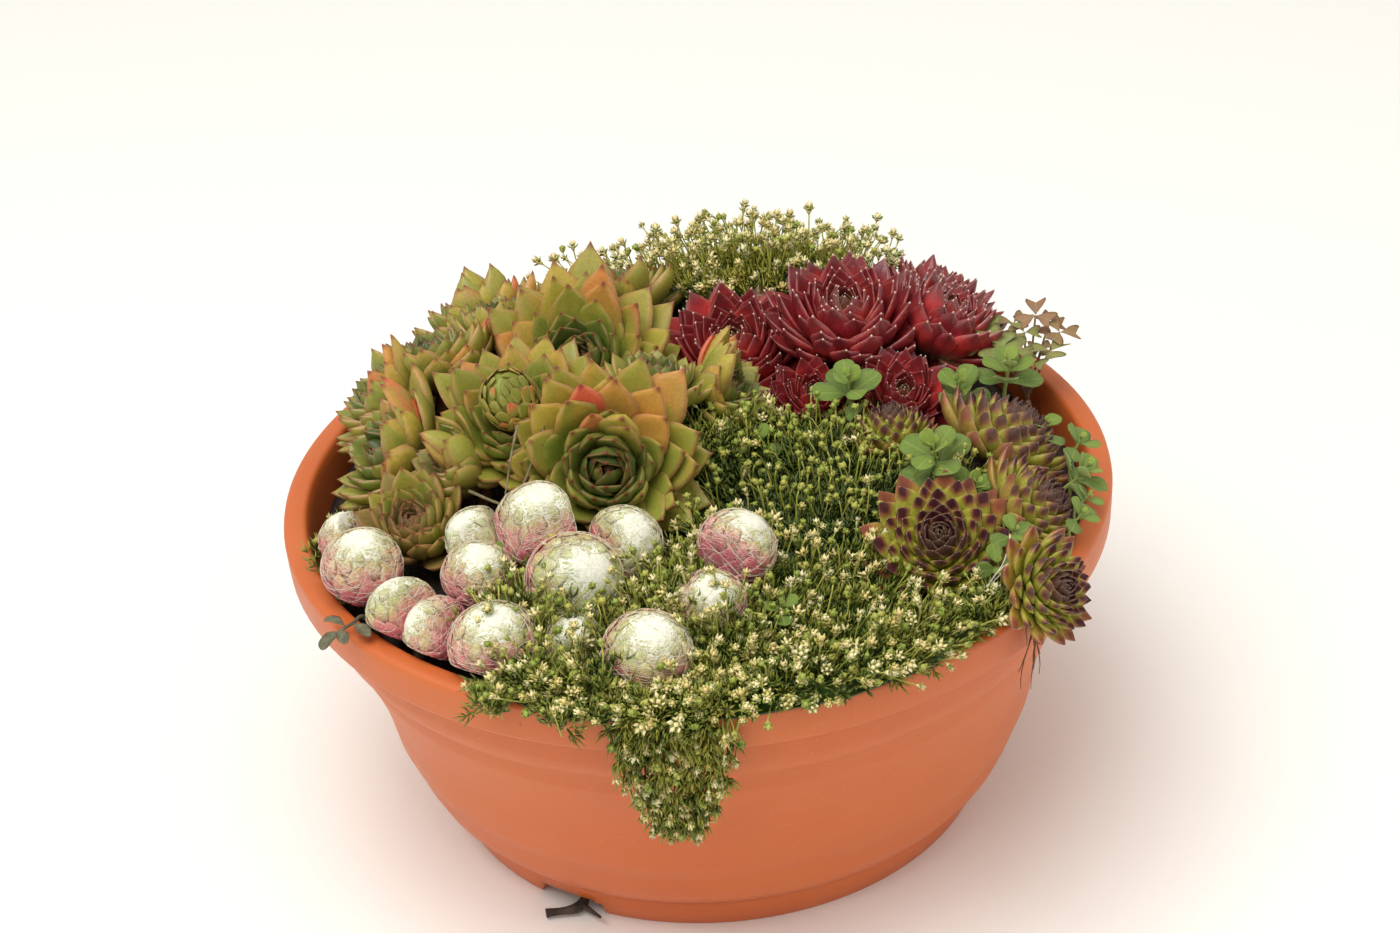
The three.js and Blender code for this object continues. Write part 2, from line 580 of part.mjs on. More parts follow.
// Wood sorrel: three heart-shaped leaflets at the end of each stalk, spread above the rim at the back right.
const SORREL_FOOT = at(127, 43, 0);
const SORREL = [[122, 35, 147], [123, 52, 150], [131, 49, 154], [139, 42, 150], [134, 32, 148]];
function sorrel() {
  const foot = SORREL_FOOT.clone().setZ(soilHeight(SORREL_FOOT.x, SORREL_FOOT.y));
  const solids = [rod(foot.clone().add(at(0, 0, -STEM_DEPTH)), foot.clone().add(at(0, 0, 8)), 2.2, 6, 1.6)];
  const crown = foot.clone().add(at(0, 0, 6));
  SORREL.forEach(([x, y, z], order) => {
    const outline = [0, 120, 240].flatMap((turn) =>
      [[1.4, -60], [7.6, -24], [7.6, 24]].map(([r, more]) => polar(r, turn + more + 40 * order)));
    const trefoil = new THREE.ExtrudeGeometry(new THREE.Shape(outline), { depth: 0.9, bevelEnabled: false });
    const facing = at(0.25 * Math.cos(order * 2), 0.25 * Math.sin(order * 2) - 0.2, 1).normalize();
    trefoil.applyQuaternion(new THREE.Quaternion().setFromUnitVectors(at(0, 0, 1), facing)).translate(x, y, z);
    solids.push(solid(trefoil), rod(crown, at(x, y, z + 0.5), 0.8, 3));
  });
  return Manifold.union(solids);
}

// A root that has found its way out of a drain hole and through the notch beside it.
function drainRoot() {
  const azimuth = NOTCHES[0];
  const points = [polar(DRAIN_R, azimuth, 22), polar(DRAIN_R, azimuth, 5), polar(92, azimuth + 1, 3.4),
    polar(104, azimuth + 3, 3.2), polar(112, azimuth - 2, 2.4)];
  const fork = [polar(103, azimuth + 3, 3.2), polar(109, azimuth + 9, 5.5)];
  return Manifold.union([branch(points, 1.8, 5), branch(fork, 1.2, 4)]);
}
function drainRootHole() {
  const azimuth = NOTCHES[0];
  return rod(polar(DRAIN_R, azimuth, 8), polar(DRAIN_R, azimuth, 25.5), 3.2, 8);
}

// ---- Pearlwort mats -----------------------------------------------------------------------------------

// Each mat's middle and its outline round that, in plan, with its thickness there, the rings of tufts that
// cover it and its flower heads.
const MATS = {
  pearlwort_middle: {
    middle: [48, -34], thick: 7, rings: 3, columns: 16, heads: 6,
    outline: [[-3, -34], [6, -8], [26, 2], [50, -3], [66, -20], [100, -36], [102, -50], [54, -59], [0, -61]],
  },
  pearlwort_front: {
    middle: [14, -108], thick: 7, rings: 4, columns: 22, heads: 12,
    outline: [[-60, -66], [-6, -65], [53, -63], [103, -54], [110, -86], [92, -112], [72, -133], [42, -147],
      [8, -153], [-30, -150], [-58, -140], [-76, -122], [-64, -96]],
    spill: { centre: -95.3, half: [13, 11, 9, 8, 6.5, 4], drop: 43 },
  },
  pearlwort_back: {
    middle: [34, 106], thick: 20, rings: 4, columns: 15, heads: 10,
    outline: [[-14, 112], [8, 84], [38, 80], [72, 84], [78, 104], [72, 134], [48, 146], [18, 155], [-10, 148],
      [-34, 139]],
  },
};
const TUFT_H = 6.5; // a tuft's height above the hollows round it
const STALK_H = 12; // a flower head's, above the tufts' feet
const HEAD_R = 2.8;

// What a mat lies on: the soil, or the rim where it has grown over that.
const ground = (x, y) => (Math.hypot(x, y) > 138 ? BOWL_H : soilHeight(x, y));

// The top of a mat, which rises towards the rim to grow over it.
function matTop(thick, x, y) {
  const towardsRim = THREE.MathUtils.clamp((Math.hypot(x, y) - 116) / 22, 0, 1);
  return lerp(soilHeight(x, y) + thick, BOWL_H + 0.4 * thick, towardsRim);
}

// A grid of corners with a pointed tuft over each of its cells, closed below by a plain back.
function tuftedSheet(rows, columns, front, back, tuft) {
  const positions = [];
  const add = (point) => positions.push(point.x, point.y, point.z) / 3 - 1;
  const grid = (make) =>
    Array.from({ length: rows + 1 }, (_, row) => Array.from({ length: columns + 1 }, (_, i) => add(make(row, i))));
  const [over, under] = [grid(front), grid(back)];
  const faces = [];
  for (let row = 0; row < rows; row++)
    for (let i = 0; i < columns; i++) {
      const ring = [over[row][i], over[row][i + 1], over[row + 1][i + 1], over[row + 1][i]];
      const tip = add(tuft(row + 0.5, i + 0.5));
      ring.forEach((corner, k) => faces.push(corner, ring[(k + 1) % 4], tip));
      faces.push(under[row][i], under[row + 1][i + 1], under[row][i + 1]);
      faces.push(under[row][i], under[row + 1][i], under[row + 1][i + 1]);
    }
  const side = (a, b, c, d) => faces.push(a, c, b, b, c, d);
  for (let i = 0; i < columns; i++) {
    side(over[0][i], over[0][i + 1], under[0][i], under[0][i + 1]);
    side(over[rows][i + 1], over[rows][i], under[rows][i + 1], under[rows][i]);
  }
  for (let row = 0; row < rows; row++) {
    side(over[row + 1][0], over[row][0], under[row + 1][0], under[row][0]);
    side(over[row][columns], over[row + 1][columns], under[row][columns], under[row + 1][columns]);
  }
  const geometry = new THREE.BufferGeometry().setIndex(faces);
  return geometry.setAttribute("position", new THREE.Float32BufferAttribute(positions, 3));
}

// A place on a mat, as a share of the way out from its middle and a corner number round its outline.
function onMat({ middle, outline }, share, turn) {
  const corner = Math.floor(turn);
  const [a, b] = [outline[corner % outline.length], outline[(corner + 1) % outline.length]];
  return [0, 1].map((k) => lerp(middle[k], lerp(a[k], b[k], turn - corner), share));
}

// The cushion of a mat: rings of tufts round its middle, thin at its edge, reaching down into the ground.
function cushion(plan, random) {
  const { outline, thick, rings, columns } = plan;
  const share = (row) => (row + 0.35) / (rings + 0.35);
  const place = (row, i, lift, sink) => {
    const [x, y] = onMat(plan, share(row), ((i % columns) / columns) * outline.length);
    const edge = row >= rings ? 0.3 : 1;
    const low = Math.min(ground(x, y), matTop(thick, x, y) - 1);
    return at(x, y, sink ? low - 5 : lerp(low, matTop(thick, x, y), edge) + lift);
  };
  const front = (row, i) => place(row, i, 0, false);
  const back = (row, i) => place(row, i, 0, true);
  const tuft = (row, i) => {
    const tip = place(row, i, TUFT_H * (0.7 + 0.6 * random()), false);
    return tip.add(at(3 * (random() - 0.5), 3 * (random() - 0.5), 0));
  };
  const ringed = solid(tuftedSheet(rings, columns, front, back, tuft));
  const hub = Array.from({ length: columns }, (_, i) => [front(0, i), back(0, i)]).flat();
  return ringed.add(convex([...hub, at(...plan.middle, matTop(thick, ...plan.middle) + TUFT_H * 0.6)]));
}

// A spill's surface, from inside the rim over it and down outside: [radius, height] at a share.
function spillAt(spill, share) {
  const path = [[136, BOWL_H + 2.5], [142, BOWL_H + 3.4], [148, BOWL_H + 3.4], [152.2, BOWL_H + 0.5],
    [152.6, BOWL_H - 0.25 * spill.drop], [152.2, BOWL_H - 0.6 * spill.drop], [151.4, BOWL_H - spill.drop]];
  const place = share * (path.length - 1);
  const i = Math.min(path.length - 2, Math.floor(place));
  return [0, 1].map((k) => lerp(path[i][k], path[i + 1][k], place - i));
}

// The curtain of a spill: rows of tufts that hang, narrowing downwards.
function curtain(spill, random) {
  const [rows, columns] = [8, 4];
  const place = (row, i, out, down) => {
    const [r, z] = spillAt(spill, Math.min(1, row / rows));
    const k = (row / rows) * (spill.half.length - 1);
    const near = Math.min(spill.half.length - 2, Math.floor(k));
    const half = lerp(spill.half[near], spill.half[near + 1], k - near);
    const azimuth = spill.centre + half * (-1 + (2 * i) / columns);
    const over = row < 3.2;
    return polar(over ? r : r + out, azimuth, over ? z + out : z - down);
  };
  const front = (row, i) => place(row, i, 1, 0);
  const back = (row, i) => place(row, i, -2, 0);
  const tuft = (row, i) => place(row, i + 0.6 * (random() - 0.5), 2.6 + random(), 2.5 + 3 * random());
  return solid(tuftedSheet(rows, columns, front, back, tuft));
}

// A flower head on its stalk.
function flowerHead(from, direction) {
  const profile = [[0, 0], [0.7, 0], [0.8, STALK_H - 1.5 * HEAD_R], [HEAD_R, STALK_H], [0, STALK_H + 0.5 * HEAD_R]];
  const head = new THREE.LatheGeometry(profile.map(([r, y]) => new THREE.Vector2(r, y)), 3);
  return solid(placed(head, direction, from));
}

// A mat: its cushion with flower heads over it, and its curtain if it spills over the rim.
function mat(plan, seed) {
  const { outline, thick, heads, spill } = plan;
  const random = seeded(seed);
  const parts = [cushion(plan, random)];
  const clear = (x, y, z) => plants.every(({ heart, r }) =>
    Math.hypot(x - heart.x, y - heart.y) > r + 2 || z < heart.z - 1.2 * r);
  for (let grown = 0, tries = 0; grown < heads && tries < 3000; tries++) {
    const [x, y] = onMat(plan, 0.86 * Math.sqrt(random()), outline.length * random());
    const from = at(x, y, matTop(thick, x, y) - 1.5);
    const lean = at(random() - 0.5, random() - 0.5, 1.3).normalize();
    if (!clear(x, y, from.z) || Math.hypot(x, y) > 146) continue;
    parts.push(flowerHead(from, lean));
    grown++;
  }
  return Manifold.union(spill ? [...parts, curtain(spill, random)] : parts);
}

// ---- The planted bowl ---------------------------------------------------------------------------------

const object = new THREE.Group();
const section = () => {
  const group = new THREE.Group();
  object.add(group);
  return group;
};

const rooms = Manifold.union(plants.map((plant) => plant.room));
const stemHoles = (some) => some.filter(hasOwnStem).map((plant) =>
  rod(...stemEnds(plant), stemRadius(plant) + GAP * 1.3, STEM_SIDES));
const balls = plants.filter((plant) => plant.kind === "cobweb");
const notBalls = plants.filter((plant) => plant.kind !== "cobweb");
const otherHoles = Manifold.union([
  branch(RUNNER.path, RUNNER_R + GAP * 1.4, 6),
  branch(TWIG, 0.9 + GAP * 1.4, 4),
  rod(SORREL_FOOT.clone().setZ(60), SORREL_FOOT.clone().setZ(160), 2.2 + GAP * 1.2, 6),
  drainRootHole(),
  ...stemHoles(notBalls),
]);
const holes = Manifold.union([otherHoles, ...stemHoles(balls)]);

const pot = section();
pot.add(piece("bowl", bowl(), finish(0xc4623a, 0.55)));
const soil = cavity().intersect(between(() => 0, soilHeight)).subtract(rooms).subtract(holes);
pot.add(piece("soil", largest(soil), finish(0x2b211a, 0.95), at(0, 0, 0), 3 * MERGE));
pot.add(piece("drain_root", drainRoot(), finish(0x3a322a, 0.9)));

const planting = section();
for (const plant of plants) {
  const { color, roughness } = KINDS[plant.kind];
  planting.add(piece(plant.name, largest(grown(plant)), finish(color, roughness), plant.foot));
}

const undergrowth = section();
const underMats = between(() => 0, (x, y) => soilHeight(x, y) + GAP);
const throughMats = balls.map((plant) => plant.room.translate([0, 0, -0.9 * plant.r])); // down to the soil
const notMats = Manifold.union([rooms, ...throughMats, otherHoles, bowlWithGap(), underMats]);
Object.entries(MATS).forEach(([name, plan], order) => {
  const cut = largest(mat(plan, order + 1).subtract(notMats));
  undergrowth.add(piece(name, cut, finish(0x5f7f35, 0.8), at(0, 0, 0), 3 * MERGE));
});
undergrowth.add(piece("runner", runner(), finish(0x8a5a3a, 0.8), RUNNER.path[0]));
undergrowth.add(piece("twig", twig(), finish(0x6a6a58, 0.85), TWIG[0]));
undergrowth.add(piece("sorrel", sorrel(), finish(0x7a6a3c, 0.7), SORREL_FOOT));

// The largest body of a solid, without the scraps that cutting leaves loose.
function largest(shape) {
  return shape.decompose().reduce((most, body) => (body.volume() > most.volume() ? body : most));
}

export default object;
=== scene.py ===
import json
import math

import bpy
import numpy as np
from mathutils import Matrix, Vector

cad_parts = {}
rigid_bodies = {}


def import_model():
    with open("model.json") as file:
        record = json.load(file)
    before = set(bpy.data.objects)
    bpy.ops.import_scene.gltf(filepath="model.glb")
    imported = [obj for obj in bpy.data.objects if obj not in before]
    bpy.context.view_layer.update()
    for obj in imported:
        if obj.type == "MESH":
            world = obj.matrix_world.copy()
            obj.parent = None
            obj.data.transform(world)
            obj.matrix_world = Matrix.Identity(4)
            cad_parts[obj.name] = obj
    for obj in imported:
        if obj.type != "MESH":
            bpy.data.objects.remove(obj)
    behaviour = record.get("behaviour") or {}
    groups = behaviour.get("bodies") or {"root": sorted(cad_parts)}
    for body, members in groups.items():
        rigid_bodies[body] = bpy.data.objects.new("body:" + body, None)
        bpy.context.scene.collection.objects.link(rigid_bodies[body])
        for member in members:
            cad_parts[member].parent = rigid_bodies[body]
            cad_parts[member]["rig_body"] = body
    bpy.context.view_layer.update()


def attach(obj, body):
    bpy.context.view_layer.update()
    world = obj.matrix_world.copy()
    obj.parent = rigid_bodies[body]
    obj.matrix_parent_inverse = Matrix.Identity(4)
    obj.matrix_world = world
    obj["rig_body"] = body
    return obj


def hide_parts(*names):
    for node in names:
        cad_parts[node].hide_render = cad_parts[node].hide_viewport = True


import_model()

MM = 0.001
GOLDEN_TURN = math.pi * (3 - math.sqrt(5))
UP = np.array((0.0, 0.0, 1.0))

BOWL_R, BOWL_H, RIM_W, FLOOR_Z, WALL = 150.0, 127.0, 8.5, 8.0, 2.6
NOTCHES, NOTCH_H, DRAIN_R, DRAIN_HOLE_R = (-124.0, -4.0, 116.0), 7.0, 80.0, 5.0
# The soil's height at the wall, how far it stays under a plant's foot, how wide each heap spreads, and the gap
# left between neighbours. Then heaps of its own: x, y and height.
SOIL_EDGE, FOOT_CLEAR, HEAP_SPREAD, GAP = 106.0, 6.0, 16.0, 0.35
HEAPS = ((25, 112, 141), (55, 98, 142), (55, -34, 124), (20, -118, 118), (66, -104, 117), (-8, 60, 142))
# Where each run of random draws starts. A plant's own starts from its name.
SEEDS = {"soil": 5, "mats": 40, "loose growth": 47, "sorrel": 71, "runner": 72, "litter": 77, "plants": 100}

# name, heart x, y, z, radius, azimuth it leans to, lean from upright
PLANTS = {
    "green": (
        ("green_front", -31, -36, 152, 35, -88, 50), ("green_budding", -61, -12, 160, 32, -105, 26),
        ("green_front_left", -83, -22, 151, 24, -160, 46), ("green_low", -99, -42, 139, 23, -115, 20),
        ("green_side", -109, 2, 142, 28, -170, 42), ("green_edge", -112, 38, 146, 26, 168, 38),
        ("green_left", -94, 46, 156, 25, 130, 20), ("green_top", -40, 37, 154, 36, -95, 28),
        ("green_behind_top", -69, 66, 158, 24, 110, 14), ("green_middle", -12, 8, 161, 23, 60, 14),
        ("green_right", 13, 14, 152, 22, -12, 44), ("green_back", -80, 94, 146, 27, 125, 30),
        ("green_far_back", -30, 96, 150, 29, 100, 22),
    ),
    "red": (
        ("red_low_left", 24, 20, 141, 17, -110, 24), ("red_low_middle", 45, 19, 144, 19, -92, 28),
        ("red_low_right", 77, 12, 145, 21, -72, 26), ("red_left", 18, 50, 149, 32, -95, 20),
        ("red_middle", 60, 48, 160, 33, -92, 8), ("red_right", 97, 52, 153, 28, 15, 26),
        ("red_back", 98, 90, 144, 26, 42, 32),
    ),
    "purple": (
        ("purple_overhang", 114, -112, 140, 18, -45, 62), ("purple_front", 81, -75, 137, 25, -95, 34),
        ("purple_side", 117, -59, 139, 20, -6, 50), ("purple_right", 114, -14, 141, 25, 20, 40),
        ("purple_small", 71, -8, 145, 17, 95, 12),
    ),
    "cobweb": (
        ("cobweb_a", -20, -127, 137, 15, -55, 22), ("cobweb_b", -70, -111, 134, 15.5, -95, 10),
        ("cobweb_c", -44, -112, 134, 9.5, -90, 20), ("cobweb_d", -90, -97, 132, 12, 180, 50),
        ("cobweb_e", 2, -104, 139, 12, -80, 25), ("cobweb_f", -102, -85, 133, 12.5, 130, 34),
        ("cobweb_g", -43, -86, 140, 17, -55, 46), ("cobweb_h", 12, -86, 149, 13.5, 0, 28),
        ("cobweb_i", -76, -76, 139, 12.5, -60, 14), ("cobweb_j", -26, -71, 144, 13.5, -45, 34),
        ("cobweb_k", -116, -62, 137, 14.5, -90, 6), ("cobweb_l", -54, -59, 146, 16.5, -90, 6),
        ("cobweb_m", -77, -57, 142, 11.5, -150, 30), ("cobweb_n", -123, -37, 133, 11, 150, 14),
    ),
    "oregano": (
        ("oregano_stray", 98, -95, 141, 9, -100, 20), ("oregano_front", 83, -43, 153, 13, -110, 20),
        ("oregano_rim_front", 132.5, -49, 144, 11, -12, 36), ("oregano_middle", 57, 2, 156, 13, -95, 16),
        ("oregano_right", 97, 4, 151, 11, -100, 24), ("oregano_tall", 115, 6, 156, 12, -60, 12),
    ),
}

# How each kind of rosette grows. Lengths are shares of the radius, angles are above the plane across its axis,
# and each pair goes from the youngest leaf to the oldest.
HABITS = {
    "green": dict(spare=22, per_mm=1.35, length=(0.34, 0.98), width=(0.68, 0.47), thick=0.11, elevation=(94, 35),
                  bend=(42, 20), cup=0.12, root=(0.03, 0.2), raised=(0.28, 0.02), unruly=8, stretch=0.42, proud=0.9,
                  skirt=0.22, droop=24),
    "red": dict(spare=24, per_mm=1.7, length=(0.38, 0.9), width=(0.62, 0.46), thick=0.085, elevation=(94, 54),
                bend=(26, 12), cup=0.18, root=(0.03, 0.28), raised=(0.3, 0.0), unruly=10, stretch=0.08, proud=0.5,
                skirt=0.36, droop=42),
    "purple": dict(spare=36, per_mm=1.8, length=(0.3, 0.72), width=(0.84, 0.6), thick=0.14, elevation=(94, 32),
                   bend=(22, 34), cup=0.06, root=(0.03, 0.46), raised=(0.56, 0.02), unruly=4, stretch=0.2, proud=0.1,
                   skirt=0.14, droop=18),
}
# Rosettes grown in shade stand steeper, by so many degrees, and their leaves are painted browner: painted shade.
SHADED = {"green_low": 22, "green_front_left": 10}
HEART = {"cobweb": 0.92, "oregano": 1.05}


# ---- Meshes -------------------------------------------------------------------------------------------

class Heap:
    """Points, faces and traits of one piece, gathered part by part."""

    def __init__(self):
        self.points, self.faces, self.on_leaf, self.of_leaf, self.count = [], [], [], [], 0

    def add(self, points, faces, on_leaf=(0, 0, 0), of_leaf=(0, 0, 0)):
        """Adds a part. Its traits are along, across and upper side, then age, sun and chance."""
        self.points.append(points)
        self.faces += [part + self.count for part in faces]
        for gathered, traits in ((self.on_leaf, on_leaf), (self.of_leaf, of_leaf)):
            if isinstance(traits, tuple):
                traits = np.stack([np.broadcast_to(np.asarray(trait, float), len(points)) for trait in traits], 1)
            gathered.append(traits)
        self.count += len(points)

    def piece(self, name, material, *nodes, slot=None):
        """Makes one object of it, which replaces the nodes."""
        mesh = bpy.data.meshes.new(name)
        points = np.concatenate(self.points) * MM
        mesh.vertices.add(len(points))
        mesh.vertices.foreach_set("co", points.astype(np.float32).ravel())
        sides = np.concatenate([np.full(len(part), part.shape[1]) for part in self.faces])
        corners = np.concatenate([part.ravel() for part in self.faces])
        mesh.loops.add(len(corners))
        mesh.loops.foreach_set("vertex_index", corners.astype(np.int32))
        mesh.polygons.add(len(sides))
        mesh.polygons.foreach_set("loop_start", (np.cumsum(sides) - sides).astype(np.int32))
        for trait in ("on_leaf", "of_leaf"):
            values = np.concatenate(getattr(self, trait)).astype(np.float32)
            mesh.attributes.new(trait, "FLOAT_VECTOR", "POINT").data.foreach_set("vector", values.ravel())
        mesh.update(calc_edges=True)
        mesh.validate()
        mesh.shade_smooth()
        mesh.materials.append(material)
        made = bpy.data.objects.new(name, mesh)
        bpy.context.scene.collection.objects.link(made)
        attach(made, "root")
        if nodes:
            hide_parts(*nodes)
        return made


def normalised(vectors):
    return vectors / np.maximum(np.linalg.norm(vectors, axis=-1, keepdims=True), 1e-9)


def polar(r, degrees, z=0.0):
    return np.array((r * math.cos(math.radians(degrees)), r * math.sin(math.radians(degrees)), z))


def round_turn(count):
    """So many equal steps of a full turn, in radians."""
    return 2 * np.pi * np.arange(count) / count


def upright_to(direction):
    """The turn that brings up to a direction, as a matrix."""
    return np.array(Vector(UP).rotation_difference(Vector(direction)).to_matrix())


def draws(name):
    return np.random.default_rng(SEEDS["plants"] + sum(map(ord, name)))


def sheet_faces(rows, columns, closed=False):
    """Quads of a grid of rows by columns of points, row after row."""
    wrap = columns if closed else columns - 1
    row, i = np.meshgrid(np.arange(rows - 1), np.arange(wrap), indexing="ij")
    a, b = row * columns + i, row * columns + (i + 1) % columns
    return np.stack([a, b, b + columns, a + columns], -1).reshape(-1, 4)


def fan(count, turned=False):
    """Triangles that close a ring of points."""
    first, i = np.zeros(count - 2, int), np.arange(1, count - 1)
    return np.stack([first, i + 1, i] if turned else [first, i, i + 1], 1)


def double_sheet(rows, columns, edge_in=False):
    """Faces of a round sheet and the sheet under it, joined at their outer edge and closed at their middle."""
    half, i = rows * columns, np.arange(columns)
    over, hub = sheet_faces(rows, columns, True), fan(columns)
    edge = half - columns + np.stack([i, (i + 1) % columns, half + (i + 1) % columns, half + i], 1)
    return [over, over[:, ::-1] + half, edge[:, ::-1] if edge_in else edge, hub[:, ::-1], hub + half]


def around(r, turn, z):
    """Points at a distance from the upright axis, a turn in radians and a height."""
    return np.stack(np.broadcast_arrays(r * np.cos(turn), r * np.sin(turn), z), -1)


def dome(angles, columns, tall):
    """Rings of points on a ball that is so tall for its width, at angles from its top in radians."""
    return around(np.sin(angles), round_turn(columns)[None], tall * np.cos(angles))


def facing_out(points, faces):
    """The same faces, turned round if they face inwards."""
    volume = 0.0
    for part in faces:
        a = points[part[:, 0]]
        for k in range(1, part.shape[1] - 1):
            volume += np.einsum("ij,ij->i", a, np.cross(points[part[:, k]], points[part[:, k + 1]])).sum()
    return faces if volume > 0 else [part[:, ::-1] for part in faces]


def repeated(faces, count, size):
    """The faces of one part again for each of many parts of so many points."""
    starts = (np.arange(count) * size)[:, None, None]
    return [(part[None] + starts).reshape(-1, part.shape[1]) for part in faces]


def not_along(directions):
    """Up, or the x axis where a direction is nearly upright."""
    return np.where(np.abs(directions[:, 2:]) < 0.8, UP, np.array((1.0, 0, 0)))


def tubes(lines, radii, sides=3):
    """Closed tapered tubes along many lines at once: points (n, stations, 3) with a radius for each station."""
    count, stations, _ = lines.shape
    radii = np.broadcast_to(radii, (count, stations))
    along = normalised(np.gradient(lines, axis=1))
    whole = normalised(lines[:, -1] - lines[:, 0])
    side = normalised(np.cross(along, not_along(whole)[:, None, :]))
    rise = np.cross(side, along)
    turn = round_turn(sides)
    ring = side[:, :, None, :] * np.cos(turn)[:, None] + rise[:, :, None, :] * np.sin(turn)[:, None]
    points = lines[:, :, None, :] + ring * radii[:, :, None, None]
    last = (stations - 1) * sides
    whole_caps = [np.arange(sides)[::-1][None], last + np.arange(sides)[None]]
    caps = whole_caps if sides <= 4 else [fan(sides, True), last + fan(sides)]
    one = facing_out(points[0].reshape(-1, 3) - lines[0].mean(0), [sheet_faces(stations, sides, True), *caps])
    return points.reshape(-1, 3), repeated(one, count, stations * sides)


def curve_through(points, stations):
    """Evenly spread points on a smooth line through a few."""
    points = np.asarray(points, float)
    padded = np.vstack([2 * points[0] - points[1], points, 2 * points[-1] - points[-2]])
    place = np.linspace(0, len(points) - 1 - 1e-9, stations)
    k, t = place.astype(int), (place % 1)[:, None]
    a, b, c, d = (padded[k + i] for i in range(4))
    return 0.5 * (2 * b + (c - a) * t + (2 * a - 5 * b + 4 * c - d) * t ** 2 + (3 * b - a - 3 * c + d) * t ** 3)


# ---- The ground and the room of each plant --------------------------------------------------------------

class Plant:
    """A plant's heart, foot and axis, and the planes that bound its room."""

    def __init__(self, kind, order, name, x, y, z, r, azimuth, lean):
        self.kind, self.order, self.name, self.r = kind, order, name, float(r)
        self.axis = polar(math.sin(math.radians(lean)), azimuth, math.cos(math.radians(lean)))
        self.heart = np.array((x, y, z), float)
        self.foot = self.heart - self.axis * HEART.get(kind, 0.42) * r
        self.turn = upright_to(self.axis)
        self.planes = []  # normal, reach along it and how much further soft leaves may go

    def placed(self, local):
        return local @ self.turn.T + self.foot

    def local(self, points):
        return (points - self.foot) @ self.turn


OVERHANGING = "purple_overhang"  # the one that stands on a runner, not in the soil
plants = [Plant(kind, order, *row) for kind, rows in PLANTS.items() for order, row in enumerate(rows)]


TOWARDS_FRONT = np.array((0, -0.86, 0.51))
OVERLAP = 0.6  # how much the plane between two plants tilts so that the front one lies over the other
TOO_FAR = 1.7  # of its radius: a neighbour past this doesn't touch a plant
RIM_NEAR, RIM_CLEAR = 4, 2.2  # a plant that comes this near the rim's inside is kept this far from it


def part_neighbours():
    """Planes between each plant and its neighbours and the rim; the one nearer the front lies over the other."""
    for one in plants:
        for other in plants:
            if other is one:
                continue
            across = other.heart - one.heart
            distance = np.linalg.norm(across)
            across = across / distance
            share = (distance ** 2 + one.r ** 2 - other.r ** 2) / (2 * distance)
            if share > TOO_FAR * one.r:
                continue
            normal = normalised(across + UP * (OVERLAP * np.clip(3 * TOWARDS_FRONT @ across, -1, 1)))
            one.planes.append((normal, normal @ (one.heart + across * share) - GAP / 2, 0.1 * one.r))
        flat = one.heart * (1, 1, 0)
        out, from_axis = normalised(flat), np.linalg.norm(flat)
        if from_axis > BOWL_R:  # it hangs over the rim
            normal, edge = normalised(out * -0.45 + UP * -0.89), BOWL_R
        elif from_axis + one.r > BOWL_R - RIM_W - RIM_NEAR:  # it leans on the rim from inside
            normal, edge = normalised(out * 0.62 + UP * -0.78), BOWL_R - RIM_W - RIM_CLEAR
        else:
            continue
        one.planes.append((normal, normal @ (out * edge + UP * BOWL_H) - GAP, 0.0))


part_neighbours()
feet = [(*plant.foot[:2], plant.foot[2] - FOOT_CLEAR) for plant in plants if plant.name != OVERHANGING]


def soil_height(x, y):
    """The soil is heaped up to each plant's foot and falls away between them and towards the wall."""
    wall, sharpness = 140, 12
    weight = 0.1 + 0.9 * (np.hypot(x, y) / wall) ** sharpness
    total = weight * SOIL_EDGE
    for cx, cy, z in (*HEAPS, *feet):
        near = np.exp(-((x - cx) ** 2 + (y - cy) ** 2) / (2 * HEAP_SPREAD ** 2))
        weight = weight + near
        total = total + near * z
    return total / weight


def pressed(plant, points, give=1.0):
    """Points drawn back softly into their plant's own room, as leaves press against their neighbours."""
    soft = 0.12 * plant.r  # the depth over which a leaf gives
    for normal, reach, spare in plant.planes:
        over = np.maximum(points @ normal - reach - give * spare + soft, 0)
        points = points - (over - soft * np.tanh(over / soft))[:, None] * normal
    return points


def beyond(plant, points):
    """How far the points go past the plant's room."""
    past = [float((points @ normal).max()) - reach - spare for normal, reach, spare in plant.planes]
    return max(past, default=-1.0)


# ---- Leaves -------------------------------------------------------------------------------------------

# A leaf's stations from root to tip, its width and depth at each as shares of the whole, and its section.
STATIONS = np.array((0, 0.1, 0.24, 0.4, 0.55, 0.68, 0.79, 0.88, 0.94, 0.975, 1.0))
OUTLINES = {
    "green": (0.6, 0.68, 0.82, 0.95, 1.0, 0.92, 0.69, 0.37, 0.15, 0.06, 0),
    "red": (0.6, 0.7, 0.85, 0.97, 1.0, 0.9, 0.67, 0.36, 0.15, 0.06, 0),
    "purple": (0.78, 0.9, 1.0, 1.0, 0.93, 0.78, 0.57, 0.34, 0.17, 0.08, 0),
    "round": (0.09, 0.1, 0.46, 0.84, 0.98, 1.0, 0.93, 0.77, 0.58, 0.36, 0),
    "heart": (0.06, 0.16, 0.38, 0.62, 0.8, 0.92, 1.0, 1.0, 0.96, 0.86, 0),
    "scale": (0.8, 0.9, 1.0, 1.0, 0.94, 0.82, 0.64, 0.42, 0.22, 0.1, 0),
}
DEPTHS = np.array((0.75, 0.92, 1.0, 1.0, 0.95, 0.88, 0.76, 0.58, 0.36, 0.2, 0.05))
RING = np.array(((1, 0), (0.64, 0.42), (0, 0.55), (-0.64, 0.42), (-1, 0), (-0.7, -0.66), (0, -1), (0.7, -0.66)))
COARSE = (0, 2, 4, 6, 7, 8, 10)  # the stations that a scale on a ball keeps
